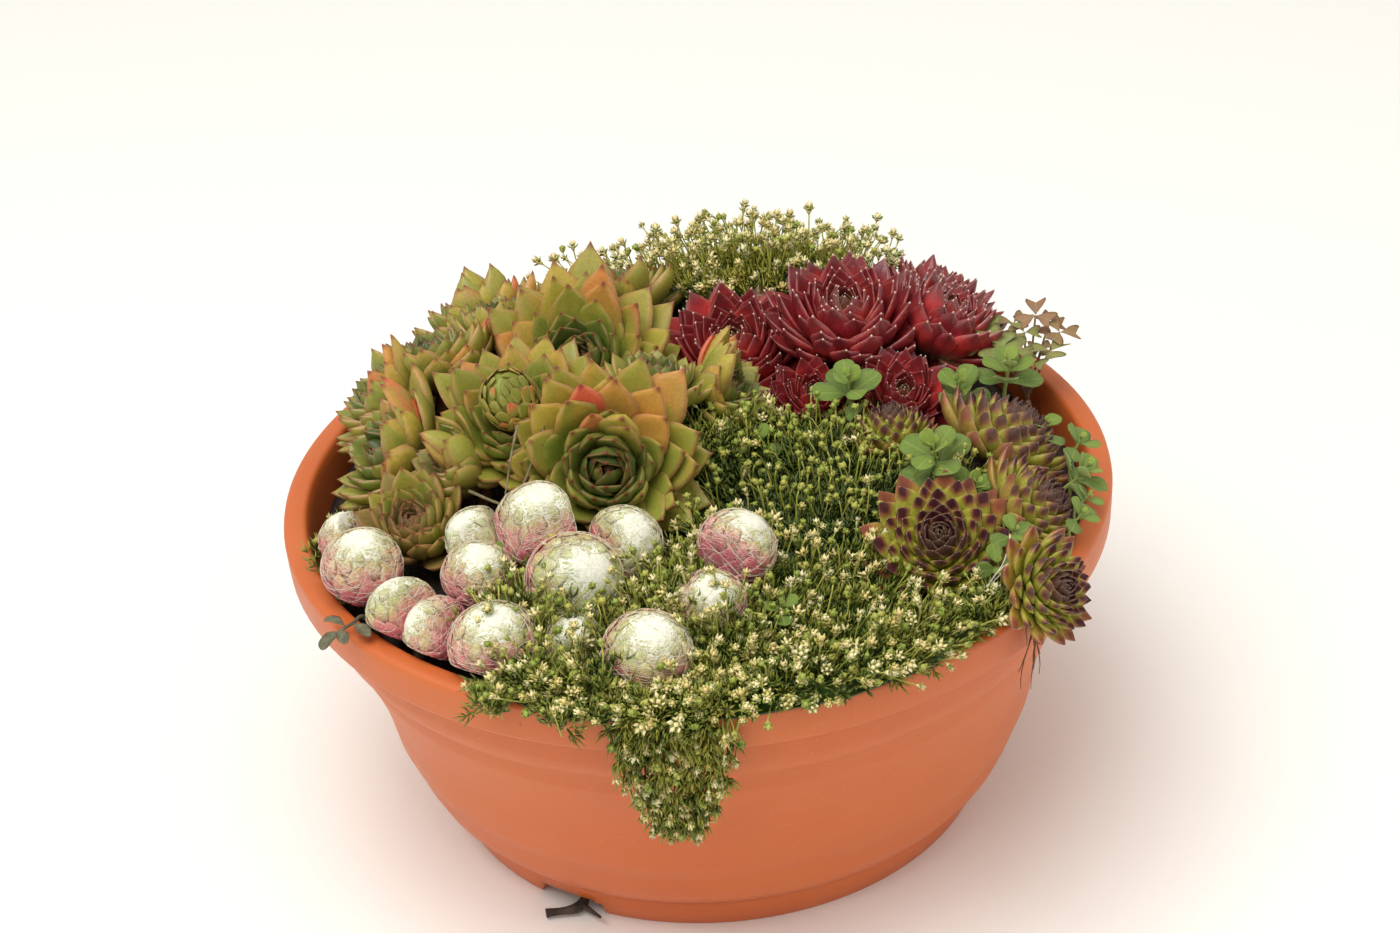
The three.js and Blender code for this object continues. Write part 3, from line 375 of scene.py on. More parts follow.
COARSE_RING = np.array(((1, 0), (0.5, 0.48), (-0.5, 0.48), (-1, 0), (0, -0.8)))


def leaf_faces(rows, sides):
    """Faces of one leaf: rings of points with its tip as the last one."""
    last = (rows - 1) * sides
    i = np.arange(sides)
    tip = np.stack([last + i, last + (i + 1) % sides, np.full(sides, last + sides)], 1)
    return [sheet_faces(rows, sides, True), tip, fan(sides, True)]


def leaf_points(line, across, face, width, thick, outline="green", cup=0.0, notch=0.0, wave=0.0, coarse=False):
    """A leaf's points round its midrib, and where each lies on it as (along, across, upper side)."""
    chosen = list(COARSE) if coarse else list(range(len(STATIONS)))
    along, ring = STATIONS[chosen], COARSE_RING if coarse else RING
    half, depth = (np.array(OUTLINES[outline]) / 2)[chosen], DEPTHS[chosen]
    line, face = line[chosen], face[chosen]
    x, z = ring[:, 0][None], ring[:, 1][None]
    rise = depth[:-1, None] * thick * z + 2 * cup * width * (x ** 2 - 0.4) * half[:-1, None]
    rise = rise + wave * width * np.sin(9 * along[:-1, None] + 2) * x ** 3
    ribs = line[:-1, None, :] + across * (x * half[:-1, None] * width)[..., None]
    ribs = ribs + face[:-1, None, :] * rise[..., None]
    back = line[0] - line[-1]
    ribs = ribs + back * (notch * (1 - np.abs(x)) * along[:-1, None] ** 5)[..., None]
    points = np.vstack([ribs.reshape(-1, 3), (line[-1] + back * notch)[None]])
    rows = len(along) - 1
    places = np.column_stack([np.append(np.repeat(along[:-1], len(ring)), 1.0),
                              np.append(np.tile(np.abs(ring[:, 0]), rows), 0.0),
                              np.append(np.tile((ring[:, 1] > -0.1).astype(float), rows), 0.5)])
    return points, places


def proper_faces(coarse):
    """A leaf's faces, turned to face out of it."""
    points, _ = leaf_points(*midrib(0, 0, 0, 20, 10, 20), 5, 1, coarse=coarse)
    size = (len(COARSE) - 1, len(COARSE_RING)) if coarse else (len(STATIONS) - 1, len(RING))
    return facing_out(points - points.mean(0), leaf_faces(*size))


def midrib(root_r, root_h, azimuth, elevation, length, bend):
    """A leaf's midrib in its plant's frame, rising at an elevation that grows by a bend from root to tip."""
    nominal = 0.45  # where along the leaf it has just its elevation
    angle = np.radians(elevation + bend * (STATIONS - nominal))
    step = np.diff(STATIONS, prepend=0.0) * length
    mid = np.radians(elevation + bend * ((STATIONS + np.roll(STATIONS, 1)) / 2 - nominal))
    out = root_r + np.cumsum(step * np.cos(mid))
    high = root_h + np.cumsum(step * np.sin(mid))
    outward, across = polar(1, azimuth), polar(1, azimuth + 90)
    line = outward * out[:, None] + UP * high[:, None]
    face = UP * np.cos(angle)[:, None] - outward * np.sin(angle)[:, None]
    return line, across, face


LEAF_FACES, SCALE_FACES = proper_faces(False), proper_faces(True)
BALL_TALL = 0.9  # a cobweb ball's height as a share of its width
LEAF_TOP = 186.0  # no leaf of a rosette stands higher than this
STEEPEST = 96  # a leaf leans no further than this over its heart
PROUD_RISE, PROUD_LENGTH = 14, 1.12  # how much steeper and longer a proud leaf grows
TRIES, TRY_RISE, TRY_LENGTH = 8, 6, 0.98  # how a leaf is raised and shortened until it clears its neighbours
TOUCH = 0.08  # of its plant's radius: how far a leaf may press past its room
SCALE_SPAN = (26, 46)  # how much of a ball's side its first and last scales cover
CORE = 0.955  # a ball's core as a share of its radius


def between(pair, t):
    return pair[0] + (pair[1] - pair[0]) * t


def rosette(plant, heap, rng, youngest=0.0):
    """Leaves at the golden turn: steep and short at the heart, long at the edge, with a skirt of old ones."""
    habit, r = HABITS[plant.kind], plant.r
    leaves, unruly = round(habit["spare"] + habit["per_mm"] * r), habit["unruly"]
    skirt = round(habit["skirt"] * leaves)
    shade = SHADED.get(plant.name, 0)
    for i in range(round(leaves * youngest), leaves + skirt):
        age, sunk = min(1.0, (i + 0.5) / leaves), max(0.0, (i - leaves) / max(1, skirt))
        azimuth = math.degrees(i * GOLDEN_TURN) + 47 * plant.order + rng.uniform(-unruly, unruly)
        facing_up = float((plant.turn @ polar(1, azimuth))[2])
        length = r * between(habit["length"], age ** 0.7) * rng.uniform(0.93, 1.07)
        length = length * (1 + habit["stretch"] * max(0, facing_up) * age)
        width = length * between(habit["width"], age) * rng.uniform(0.92, 1.08)
        elevation = between(habit["elevation"], age ** 0.85) - habit["droop"] * sunk + shade * age
        if rng.random() < habit["proud"] * max(0, facing_up) * age:
            elevation, length = elevation + PROUD_RISE, length * PROUD_LENGTH
        elevation = elevation + rng.uniform(-unruly, unruly)
        bend = between(habit["bend"], age) + rng.uniform(-10, 10)
        root_r, root_h = r * between(habit["root"], age), r * between(habit["raised"], age)
        wave = rng.uniform(-0.012, 0.012)
        for _ in range(TRIES):
            line, across, face = midrib(root_r, root_h, azimuth, min(elevation, STEEPEST), length, bend)
            points, places = leaf_points(line, across, face, width, habit["thick"] * length, plant.kind,
                                         habit["cup"], wave=wave)
            points = plant.placed(points)
            if beyond(plant, points) < TOUCH * r:
                break
            elevation, length = elevation + TRY_RISE, length * TRY_LENGTH
        root, top = plant.placed(line[:1]), points[:, 2].max()
        if top > LEAF_TOP:
            points = root + (points - root) * (LEAF_TOP - root[0, 2]) / (top - root[0, 2])
        sun = np.clip(0.3 + 0.9 * facing_up + rng.uniform(-0.35, 0.35), 0, 1) * np.clip((age - 0.3) * 2.4, 0, 1)
        # A shaded rosette's sun drops below 0, which the leaf finish paints as a brown shade.
        sun = sun * (1 - sunk) - shade / 40
        heap.add(pressed(plant, points), LEAF_FACES, places, (age, sun, rng.random()))


def scale_ball(plant, heap, rng, centre, r, scales, tall, lowest, lift, tone=None):
    """A rosette closed into a ball: scales lie over its round, each with its tip towards the top.

    The last tip is so many degrees down, the scales' roots lie deeper by a share of the radius, and a tone
    is the age of all scales of a cobweb ball.
    """
    tips = []
    for i in range(scales):
        age = (i + 0.5) / scales
        azimuth = math.degrees(i * GOLDEN_TURN) + 31 * plant.order + rng.uniform(-5, 5)
        tip = math.radians(3 + lowest * age ** 0.72)
        span = math.radians(between(SCALE_SPAN, min(1, 2 * age)))
        from_top = tip + span * (1 - STATIONS)
        shell = r * (1 - lift * (1 - STATIONS) ** 1.5 + 0.012 * rng.uniform(-1, 1))
        outward, across = polar(1, azimuth), polar(1, azimuth + 90)
        radial = outward * np.sin(from_top)[:, None] + UP * (tall * np.cos(from_top))[:, None]
        broad = 0.78 if tone is None else 0.52
        width = broad * r * min(1, 0.4 + 2.2 * age) * rng.uniform(0.92, 1.08)
        points, places = leaf_points(radial * shell[:, None], across, normalised(radial), width, 0.06 * r, "scale",
                                     cup=-0.1, coarse=True)
        down = np.append(np.repeat(from_top[list(COARSE[:-1])], len(COARSE_RING)), tip) / np.pi
        chance = rng.random()
        traits = (0.8 + 0.2 * age, 0.2 + 0.5 * chance, chance) if tone is None else (tone, down, chance)
        heap.add(pressed(plant, points @ plant.turn.T + centre, 0), SCALE_FACES, places, traits)
        tips.append(radial[-1])
    return np.array(tips)


def ball_core(plant, heap, centre, r, tall, tone, chance):
    """What shows between the scales."""
    rows, columns, top, bottom = 14, 28, 4, 176
    angles = np.radians(np.linspace(top, bottom, rows))[:, None]
    points = CORE * r * dome(angles, columns, tall).reshape(-1, 3)
    hub = fan(columns, True)
    parts = facing_out(points, [sheet_faces(rows, columns, True), hub, hub[:, ::-1] + (rows - 1) * columns])
    down = np.repeat(np.linspace(top, bottom, rows) / 180, columns)
    heap.add(pressed(plant, points @ plant.turn.T + centre, 0), parts, (0.5, 0.3, 1), (tone, down, chance))


def web(plant, heap, tips, rng, threads):
    """Threads spun from leaf tip to leaf tip near the top, and long arcs round the sides of the ball."""
    r = plant.r
    top = np.flatnonzero(tips[:, 2] > -0.2)
    lines = []
    t = np.linspace(0, 1, 6)[:, None]
    while len(lines) < threads:
        if len(lines) % 5 < 3:
            high, spin = math.radians(rng.uniform(32, 112)), rng.uniform(0, 2 * math.pi)
            along, tilt = math.radians(rng.uniform(24, 62)), rng.normal(0, 0.34)
            turn = spin + along * (t - 0.5) / math.sin(high)
            level = high + tilt * along * (t - 0.5) + rng.normal(0, 0.03) * np.sin(np.pi * t)
            arc = np.hstack([np.sin(level) * np.cos(turn), np.sin(level) * np.sin(turn), np.cos(level)])
        else:
            a, b = tips[rng.choice(top, 2, replace=False)]
            apart = math.degrees(math.acos(np.clip(normalised(a) @ normalised(b), -1, 1)))
            if not 12 < apart < 70:
                continue
            arc = normalised((a + rng.normal(0, 0.05, 3)) * (1 - t) + (b + rng.normal(0, 0.05, 3)) * t)
        arc[:, 2] *= BALL_TALL
        lines.append(arc * r * (1.006 + 0.014 * rng.random() + 0.01 * np.sin(np.pi * t)))
    lines = np.array(lines)
    placed = pressed(plant, lines.reshape(-1, 3) @ plant.turn.T + plant.heart, 0).reshape(lines.shape)
    thin = np.array((0.03, 0.06, 0.07, 0.07, 0.06, 0.03)) * (0.8 + r / 50)
    points, threads_faces = tubes(placed, thin * rng.uniform(0.7, 1.4, (len(lines), 1)))
    heap.add(points, threads_faces, (0.5, 0, 1), (0, 0, 0.5))


def felt(plant, heap, rng):
    """The felt of threads over the top of a cobweb rosette, which sinks in between its leaves further down."""
    rows, columns, edge, whole, fading = 12, 36, 48, 13, 27  # it is whole so far down, then sinks
    angles, turn = np.radians(np.linspace(0.5, edge, rows))[:, None], round_turn(columns)[None]
    ragged = 1 + 0.16 * np.sin(3 * turn + plant.order) + 0.1 * np.sin(7 * turn + 2 * plant.order)
    sink = np.clip((np.degrees(angles) - whole * ragged) / fading, 0, 1) ** 1.4
    shell = dome(angles, columns, BALL_TALL)
    bumps = 0.005 * np.sin(9 * turn + 5 * plant.order) * np.sin(13 * angles)
    bumps = bumps + 0.003 * rng.normal(size=(rows, columns))
    outside, inside, deepest = 1.02, 0.99, 0.07
    over, under = (shell * (plant.r * (h - deepest * sink + bumps))[..., None] for h in (outside, inside))
    points = np.concatenate([over.reshape(-1, 3), under.reshape(-1, 3)])
    sunk = np.tile(np.broadcast_to(sink, (rows, columns)).ravel(), 2)
    parts = facing_out(points, double_sheet(rows, columns))
    heap.add(pressed(plant, points @ plant.turn.T + plant.heart, 0), parts, (sunk, 0, 0), (1, 0, rng.random()))


# ---- Shaders ------------------------------------------------------------------------------------------

def paint(code):
    """A colour as the renderer wants it, from its usual web code."""
    values = [int(code[i:i + 2], 16) / 255 for i in (0, 2, 4)]
    return (*[v / 12.92 if v <= 0.04045 else ((v + 0.055) / 1.055) ** 2.4 for v in values], 1)


class Nodes:
    """A node tree, with short ways to add the nodes used here and to link them up."""

    def __init__(self, tree):
        self.tree = tree

    def add(self, kind, inputs=None, **settings):
        node = self.tree.nodes.new("ShaderNode" + kind)
        for key, value in settings.items():
            setattr(node, key, value)
        for key, value in (inputs or {}).items():
            socket = node.inputs[key]
            if isinstance(value, bpy.types.NodeSocket):
                self.link(value, socket)
            else:
                socket.default_value = value
        return node

    def link(self, value, socket):
        self.tree.links.new(value, socket)

    def group(self, tree, inputs=None):
        return self.add("Group", inputs, node_tree=tree).outputs

    def position(self):
        return self.add("TexCoord").outputs["Object"]

    def maths(self, operation, a, b):
        return self.add("Math", {0: a, 1: b}, operation=operation).outputs[0]

    def times(self, a, b):
        return self.maths("MULTIPLY", a, b)

    def plus(self, a, b):
        return self.maths("ADD", a, b)

    def minus(self, a, b):
        return self.maths("SUBTRACT", a, b)

    def greater(self, a, b):
        return self.maths("MAXIMUM", a, b)

    def swing(self, value, size):
        """A value from 0 to 1, moved to swing about 0."""
        return self.times(self.minus(value, 0.5), size)

    def step(self, value, low, high, start=0.0, end=1.0):
        inputs = {"Value": value, "From Min": low, "From Max": high, "To Min": start, "To Max": end}
        return self.add("MapRange", inputs, interpolation_type="SMOOTHSTEP").outputs[0]

    def mix(self, share, a, b, blend="MIX"):
        return self.add("Mix", {0: share, 6: a, 7: b}, data_type="RGBA", blend_type=blend).outputs[2]

    def ramp(self, value, *stops):
        node = self.add("ValToRGB", {0: value})
        elements = node.color_ramp.elements
        for element, (place, code) in zip([elements[0], elements[1]], [stops[0], stops[-1]]):
            element.position, element.color = place, paint(code)
        for place, code in stops[1:-1]:
            elements.new(place).color = paint(code)
        return node.outputs[0]

    def noise(self, scale, detail=4.0, where=None):
        inputs = {"Scale": scale, "Detail": detail, "Roughness": 0.55}
        if where is not None:
            inputs["Vector"] = where
        return self.add("TexNoise", inputs).outputs[0]


def effect(name, inputs, outputs):
    """An empty node group with named value inputs and outputs."""
    tree = bpy.data.node_groups.new(name, "ShaderNodeTree")
    for label, value in inputs.items():
        tree.interface.new_socket(label, in_out="INPUT", socket_type="NodeSocketFloat").default_value = value
    for label in outputs:
        tree.interface.new_socket(label, in_out="OUTPUT", socket_type="NodeSocketFloat")
    return Nodes(tree), tree.nodes.new("NodeGroupInput").outputs, tree.nodes.new("NodeGroupOutput").inputs


def leaf_places():
    """Where a point lies on its leaf, and how old and sunlit the leaf is."""
    labels = ("Along", "Across", "Upper side", "Age", "Sun", "Chance")
    nodes, _, out = effect("leaf_places", {}, labels)
    for trait, names in (("on_leaf", labels[:3]), ("of_leaf", labels[3:])):
        source = nodes.add("Attribute", attribute_name=trait, attribute_type="GEOMETRY")
        parts = nodes.add("SeparateXYZ", {0: source.outputs["Vector"]})
        for socket, label in zip(parts.outputs, names):
            nodes.link(socket, out[label])
    return nodes.tree


def mottling():
    """Large soft patches, fine grain and small specks, all from 0 to 1."""
    nodes, values, out = effect("mottling", {"Patch scale": 90.0, "Grain scale": 900.0, "Speck scale": 700.0,
                                             "Speck share": 0.12}, ("Patches", "Grain", "Specks"))
    where = nodes.position()
    patches = nodes.add("TexNoise", {"Vector": where, "Scale": values["Patch scale"], "Detail": 3.0})
    nodes.link(nodes.step(patches.outputs[0], 0.32, 0.68), out["Patches"])
    grain = nodes.add("TexNoise", {"Vector": where, "Scale": values["Grain scale"], "Detail": 5.0})
    nodes.link(grain.outputs[0], out["Grain"])
    dots = nodes.add("TexVoronoi", {"Vector": where, "Scale": values["Speck scale"]})
    near = nodes.maths("LESS_THAN", dots.outputs["Distance"], values["Speck share"])
    chosen = nodes.maths("GREATER_THAN", dots.outputs["Color"], 0.62)
    nodes.link(nodes.times(near, chosen), out["Specks"])
    return nodes.tree


def spun():
    """A weave of fine threads in all directions, from 0 between them to 1 on them."""
    nodes, values, out = effect("spun", {"Scale": 300.0, "Width": 0.06}, ("Threads",))
    where = nodes.position()
    lines = []
    for turn, share in (((0.3, 0.2, 0.1), 1.0), ((1.3, 0.7, 2.1), 1.7), ((2.2, 1.9, 0.6), 0.7)):
        moved = nodes.add("Mapping", {"Vector": where, "Rotation": turn, "Scale": (share, share, 3.2 * share)})
        cells = nodes.add("TexVoronoi", {"Vector": moved.outputs[0], "Scale": values["Scale"]},
                          feature="DISTANCE_TO_EDGE")
        lines.append(nodes.maths("LESS_THAN", cells.outputs["Distance"], values["Width"]))
    nodes.link(nodes.greater(nodes.greater(lines[0], lines[1]), lines[2]), out["Threads"])
    return nodes.tree


LEAF_PLACES, MOTTLING, SPUN = leaf_places(), mottling(), spun()
MOTTLES = {"patch": "Patch scale", "grain": "Grain scale", "speck": "Speck scale", "share": "Speck share"}


class Finish(Nodes):
    """A material: its colour is laid on coat by coat, each through a mask."""

    def __init__(self, name, **constants):
        self.material = bpy.data.materials.new(name)
        self.material.use_nodes = True
        super().__init__(self.material.node_tree)
        self.shader = self.tree.nodes["Principled BSDF"]
        for label, value in constants.items():
            self.shader.inputs[label.replace("_", " ")].default_value = value

    def leaf(self):
        return self.group(LEAF_PLACES)

    def mottles(self, **sizes):
        return self.group(MOTTLING, {MOTTLES[label]: size for label, size in sizes.items()})

    def threads(self, scale, width):
        return self.group(SPUN, {"Scale": scale, "Width": width})["Threads"]

    def coat(self, share, colour):
        self.colour = self.mix(share, self.colour, paint(colour) if isinstance(colour, str) else colour)

    def shade_by(self, grain, dark, light):
        self.colour = self.mix(1.0, self.colour, self.step(grain, 0.3, 0.7, dark, light), "MULTIPLY")

    def underside(self, leaf, share):
        return self.times(self.minus(1.0, leaf["Upper side"]), share)

    def done(self, rough=None, height=None, depth=0.0003, strength=0.3):
        """The material, with its colour, and roughness and relief if these vary over the surface."""
        self.link(self.colour, self.shader.inputs["Base Color"])
        if rough is not None:
            self.link(rough, self.shader.inputs["Roughness"])
        if height is not None:
            bump = self.add("Bump", {"Height": height, "Distance": depth, "Strength": strength})
            self.link(bump.outputs[0], self.shader.inputs["Normal"])
        return self.material


def green_leaf():
    """Green at the heart, yellower outwards, with a blush where the sun falls and a maroon tip."""
    look = Finish("green_leaf", Subsurface_Weight=0.12, Subsurface_Scale=0.004)
    leaf, spots = look.leaf(), look.mottles(patch=120.0, speck=900.0, share=0.14)
    # The young leaves at the heart are painted dark: painted shade deep in the rosette's cup, over their own green.
    # The yellowing outwards is the leaves' own.
    look.colour = look.ramp(leaf["Age"], (0, "38481e"), (0.3, "4b5c24"), (0.62, "7c8832"), (1, "9a963c"))
    look.coat(look.step(leaf["Chance"], 0.3, 1.0, 0, 0.4), "a49a42")
    look.coat(look.step(leaf["Along"], 0.45, 0.05, 0, 0.25), "8f9452")
    flush = look.ramp(leaf["Chance"], (0, "b0a640"), (0.45, "c0a444"), (0.78, "ce9646"), (0.88, "d47e46"),
                      (0.95, "e26648"), (1, "de5844"))
    reach = look.plus(leaf["Sun"], look.step(leaf["Along"], 0.1, 1.0, -0.35, 0.3))
    reach = look.plus(reach, look.swing(spots["Patches"], 0.25))
    look.coat(look.step(reach, 0.5, 1.15, 0, 0.95), flush)
    # Shaded rosettes' leaves, whose sun is below 0, are painted brown: painted shade.
    look.coat(look.step(leaf["Sun"], 0.0, -0.5, 0, 0.7), "80603c")
    edged = look.times(look.step(leaf["Across"], 0.45, 1.0, 0, 0.3), look.step(leaf["Age"], 0.45, 0.8))
    look.coat(look.times(edged, look.step(leaf["Along"], 0.25, 0.8, 0.3, 1.0)), "ba8048")
    rooted = look.times(look.step(leaf["Along"], 0.62, 0.12, 0, 0.75), look.step(leaf["Age"], 0.35, 0.8))
    look.coat(look.times(look.minus(1.0, leaf["Upper side"]), rooted), "7a3338")
    margin = look.times(look.step(leaf["Across"], 0.84, 1.0), look.step(leaf["Along"], 0.3, 0.8, 0.1, 0.5))
    look.coat(margin, "c0806a")
    look.coat(look.step(leaf["Along"], 0.91, 0.985, 0, 0.85), "7a2e24")
    look.coat(look.times(spots["Specks"], 0.3), "7c6a3a")
    look.shade_by(spots["Grain"], 0.9, 1.06)
    return look.done(look.step(spots["Patches"], 0, 1, 0.34, 0.5), spots["Grain"], strength=0.35)


def red_leaf():
    """Burgundy, olive at the heart and pale at some leaves' feet, with a pale bead for a tip."""
    look = Finish("red_leaf", Subsurface_Weight=0.1, Subsurface_Scale=0.004, Coat_Weight=0.25, Coat_Roughness=0.3)
    leaf, spots = look.leaf(), look.mottles(patch=110.0, speck=1200.0, share=0.12)
    look.colour = look.ramp(leaf["Age"], (0, "76803a"), (0.1, "706a34"), (0.2, "8a322c"), (0.6, "982a30"),
                            (1, "86242e"))
    bright = look.times(spots["Patches"], look.step(leaf["Along"], 0.1, 0.55, 0.25, 0.8))
    bright = look.times(bright, look.step(leaf["Chance"], 0.1, 0.8, 0.35, 1))
    look.coat(look.times(bright, look.step(leaf["Age"], 0.15, 0.4)), "d8443e")
    foot = look.times(look.step(leaf["Along"], 0.5, 0.1, 0, 0.8), look.step(leaf["Chance"], 0.35, 0.7))
    look.coat(foot, "b09a68")
    look.coat(look.step(leaf["Along"], 0.62, 0.95, 0, 0.75), "5a2024")
    look.coat(look.times(look.step(leaf["Across"], 0.84, 1.0), 0.4), "d08a80")
    look.coat(look.step(leaf["Along"], 0.955, 0.995, 0, 0.95), "ecd6c4")
    look.shade_by(spots["Grain"], 0.86, 1.1)
    return look.done(look.step(spots["Patches"], 0, 1, 0.28, 0.42), spots["Grain"])


def purple_leaf():
    """Green with a dark tip of its own, which reaches further over the young leaves at the heart: painted shade."""
    look = Finish("purple_leaf", Subsurface_Weight=0.06, Subsurface_Scale=0.003, Specular_IOR_Level=0.3)
    leaf, spots = look.leaf(), look.mottles(patch=160.0, speck=1100.0, share=0.14)
    along = look.plus(leaf["Along"], look.swing(leaf["Chance"], 0.1))
    along = look.minus(along, look.times(leaf["Across"], 0.16))
    # Young leaves take more of the dark: painted shade at the heart.
    along = look.plus(along, look.step(leaf["Age"], 0.45, 0.05, 0, 0.24))
    look.colour = look.ramp(along, (0, "8a9436"), (0.4, "b0b23c"), (0.6, "a8a43c"), (0.7, "8a5638"),
                            (0.77, "50242a"), (1, "3a181e"))
    look.coat(look.step(leaf["Age"], 0.9, 1.0, 0, 0.5), "b0653f")
    look.coat(look.underside(leaf, 0.25), "7d6a4a")
    look.coat(look.times(look.step(leaf["Across"], 0.86, 1.0), 0.35), "c0ae88")
    look.coat(look.step(leaf["Along"], 0.975, 1.0, 0, 0.7), "c9b49c")
    look.shade_by(spots["Grain"], 0.86, 1.1)
    return look.done(look.step(spots["Patches"], 0, 1, 0.42, 0.6), spots["Grain"], strength=0.35)


def cobweb_leaf():
    """White felt at the top of the ball, then green, then pink; sun here is the share of the way down."""
    look = Finish("cobweb_leaf", Subsurface_Weight=0.08, Subsurface_Scale=0.003)
    leaf, spots = look.leaf(), look.mottles(patch=90.0, speck=1500.0, share=0.2)
    threads = look.threads(260.0, 0.04)
    shift = look.plus(look.swing(leaf["Chance"], 0.1), look.swing(leaf["Age"], 0.3))
    down = look.plus(look.plus(leaf["Sun"], look.swing(spots["Patches"], 0.16)), shift)
    look.colour = look.ramp(down, (0.14, "c2c486"), (0.26, "b0b25c"), (0.36, "c09a5e"), (0.44, "cc7a6c"),
                            (0.56, "be4658"), (0.74, "96384a"), (1, "7c6a44"))
    look.coat(look.step(leaf["Along"], 0.55, 0.2, 0, 0.4), "5e4a34")
    look.coat(look.step(leaf["Across"], 0.7, 1.0, 0.0, 0.45), "e6d2c0")
    look.coat(look.times(threads, look.step(leaf["Sun"], 0.6, 0.16, 0.12, 0.55)), "f0e8da")
    look.coat(look.step(leaf["Sun"], 0.2, 0.1, 0, 0.6), "ebe8d2")
    look.shade_by(spots["Grain"], 0.9, 1.08)
    return look.done(look.step(spots["Grain"], 0, 1, 0.55, 0.75), look.plus(threads, spots["Grain"]), strength=0.5)


def web_thread():
    look = Finish("web_thread", Roughness=0.75)
    look.colour = look.ramp(look.mottles(grain=600.0)["Grain"], (0.3, "dccfae"), (0.7, "f6f0da"))
    return look.done()


def web_felt():
    """Matted threads, a little green between them towards the felt's edge."""
    look = Finish("web_felt", Roughness=0.9, Subsurface_Weight=0.1, Subsurface_Scale=0.002)
    leaf, spots = look.leaf(), look.mottles(patch=240.0, grain=1300.0)
    threads = look.threads(250.0, 0.06)
    look.colour = look.mix(spots["Grain"], paint("f0ead6"), paint("fffcee"))
    thin = look.times(look.step(leaf["Along"], 0.0, 0.42, 0.16, 1.0), look.minus(1.0, threads))
    look.coat(thin, "b6bc80")
    look.coat(look.times(spots["Patches"], 0.1), "c9c8a4")
    return look.done(height=look.plus(threads, spots["Grain"]), strength=0.7)


def pearlwort():
    """One finish for four tissues, told apart by age: 0 needle, 0.25 stalk, 0.5 sepal or capsule, 1 petal."""
    look = Finish("pearlwort", Subsurface_Weight=0.05, Subsurface_Scale=0.002)
    leaf, spots = look.leaf(), look.mottles(patch=60.0)
    chance = leaf["Chance"]
    # Near black at a shoot's foot and on the cushion, paler towards the tips: painted shade deep in the mat. The
    # yellow-green tips are the needles' own.
    look.colour = look.ramp(leaf["Along"], (0, "1e2a08"), (0.45, "465c12"), (1, "8a922a"))
    tint = look.ramp(chance, (0, "284410"), (0.5, "6a7a20"), (1, "bcb44a"))
    look.coat(look.greater(look.step(chance, 0, 0.3, 0.85, 0.45), look.step(chance, 1, 2, 0.45, 0.85)), tint)
    look.coat(look.times(spots["Patches"], 0.2), "6f7a30")
    for low, high, fresh, old in ((0.1, 0.2, "96a23c", "bcb858"), (0.3, 0.45, "8c9e3c", "bab658"),
                                  (0.7, 0.9, "faf0bc", "e8d48c")):
        look.coat(look.step(leaf["Age"], low, high), look.mix(chance, paint(fresh), paint(old)))
    return look.done(look.step(chance, 0, 1, 0.42, 0.6))


def oregano_leaf():
    look = Finish("oregano_leaf", Subsurface_Weight=0.08, Subsurface_Scale=0.003, Sheen_Weight=0.05,
                  Sheen_Roughness=0.5)
    leaf, spots = look.leaf(), look.mottles(patch=110.0, grain=1400.0)
    look.colour = look.ramp(leaf["Age"], (0, "90a43e"), (0.5, "6c842a"), (1, "5c7428"))
    look.coat(look.times(spots["Patches"], 0.3), "81964a")
    rib = look.times(look.step(leaf["Across"], 0.12, 0.0), 0.45)
    slant = look.minus(look.times(leaf["Along"], 6.0), look.times(leaf["Across"], 1.6))
    veins = look.greater(rib, look.step(look.maths("PINGPONG", slant, 0.5), 0.09, 0.0, 0, 0.28))
    look.coat(veins, "98a850")
    look.coat(look.underside(leaf, 0.5), "8c9c58")
    look.coat(look.step(leaf["Across"], 0.9, 1.0, 0, 0.4), "b8c480")
    return look.done(look.step(spots["Grain"], 0, 1, 0.6, 0.8), look.minus(spots["Grain"], veins), 0.0004, 0.4)


def sorrel_leaf():
    look = Finish("sorrel_leaf", Subsurface_Weight=0.05, Subsurface_Scale=0.002)
    leaf, spots = look.leaf(), look.mottles(patch=200.0)
    look.colour = look.ramp(leaf["Chance"], (0, "86904a"), (0.45, "8a7a46"), (1, "a06c54"))
    look.coat(look.times(spots["Patches"], 0.35), "74543e")
    look.coat(look.step(leaf["Across"], 0.1, 0.0, 0, 0.4), "9aa066")
    look.coat(look.underside(leaf, 0.5), "9c8a72")
    return look.done(look.step(spots["Grain"], 0, 1, 0.5, 0.7), spots["Grain"])


def dry_stuff(name, dark, pale, rough=0.8):
    """Dead leaves, roots, straw, crumbs and stems: two tones in patches under a coarse grain."""
    look = Finish(name)
    leaf, spots = look.leaf(), look.mottles(patch=170.0, grain=700.0)
    look.colour = look.mix(spots["Patches"], paint(dark), paint(pale))
    look.coat(look.times(leaf["Chance"], 0.4), pale)
    look.shade_by(spots["Grain"], 0.7, 1.15)
    return look.done(look.step(spots["Grain"], 0, 1, rough - 0.1, rough + 0.1), spots["Grain"], 0.0006, 0.6)


def peat():
    look = Finish("peat")
    spots = look.mottles(patch=60.0, grain=420.0, speck=260.0, share=0.2)
    look.colour = look.ramp(spots["Grain"], (0.3, "150f0b"), (0.52, "2e2118"), (0.75, "4a3828"))
    look.coat(look.times(spots["Patches"], 0.4), "1d150f")
    look.coat(look.times(spots["Specks"], 0.5), "6a5238")
    return look.done(look.step(spots["Grain"], 0, 1, 0.85, 1.0), spots["Grain"], 0.0015, 0.8)


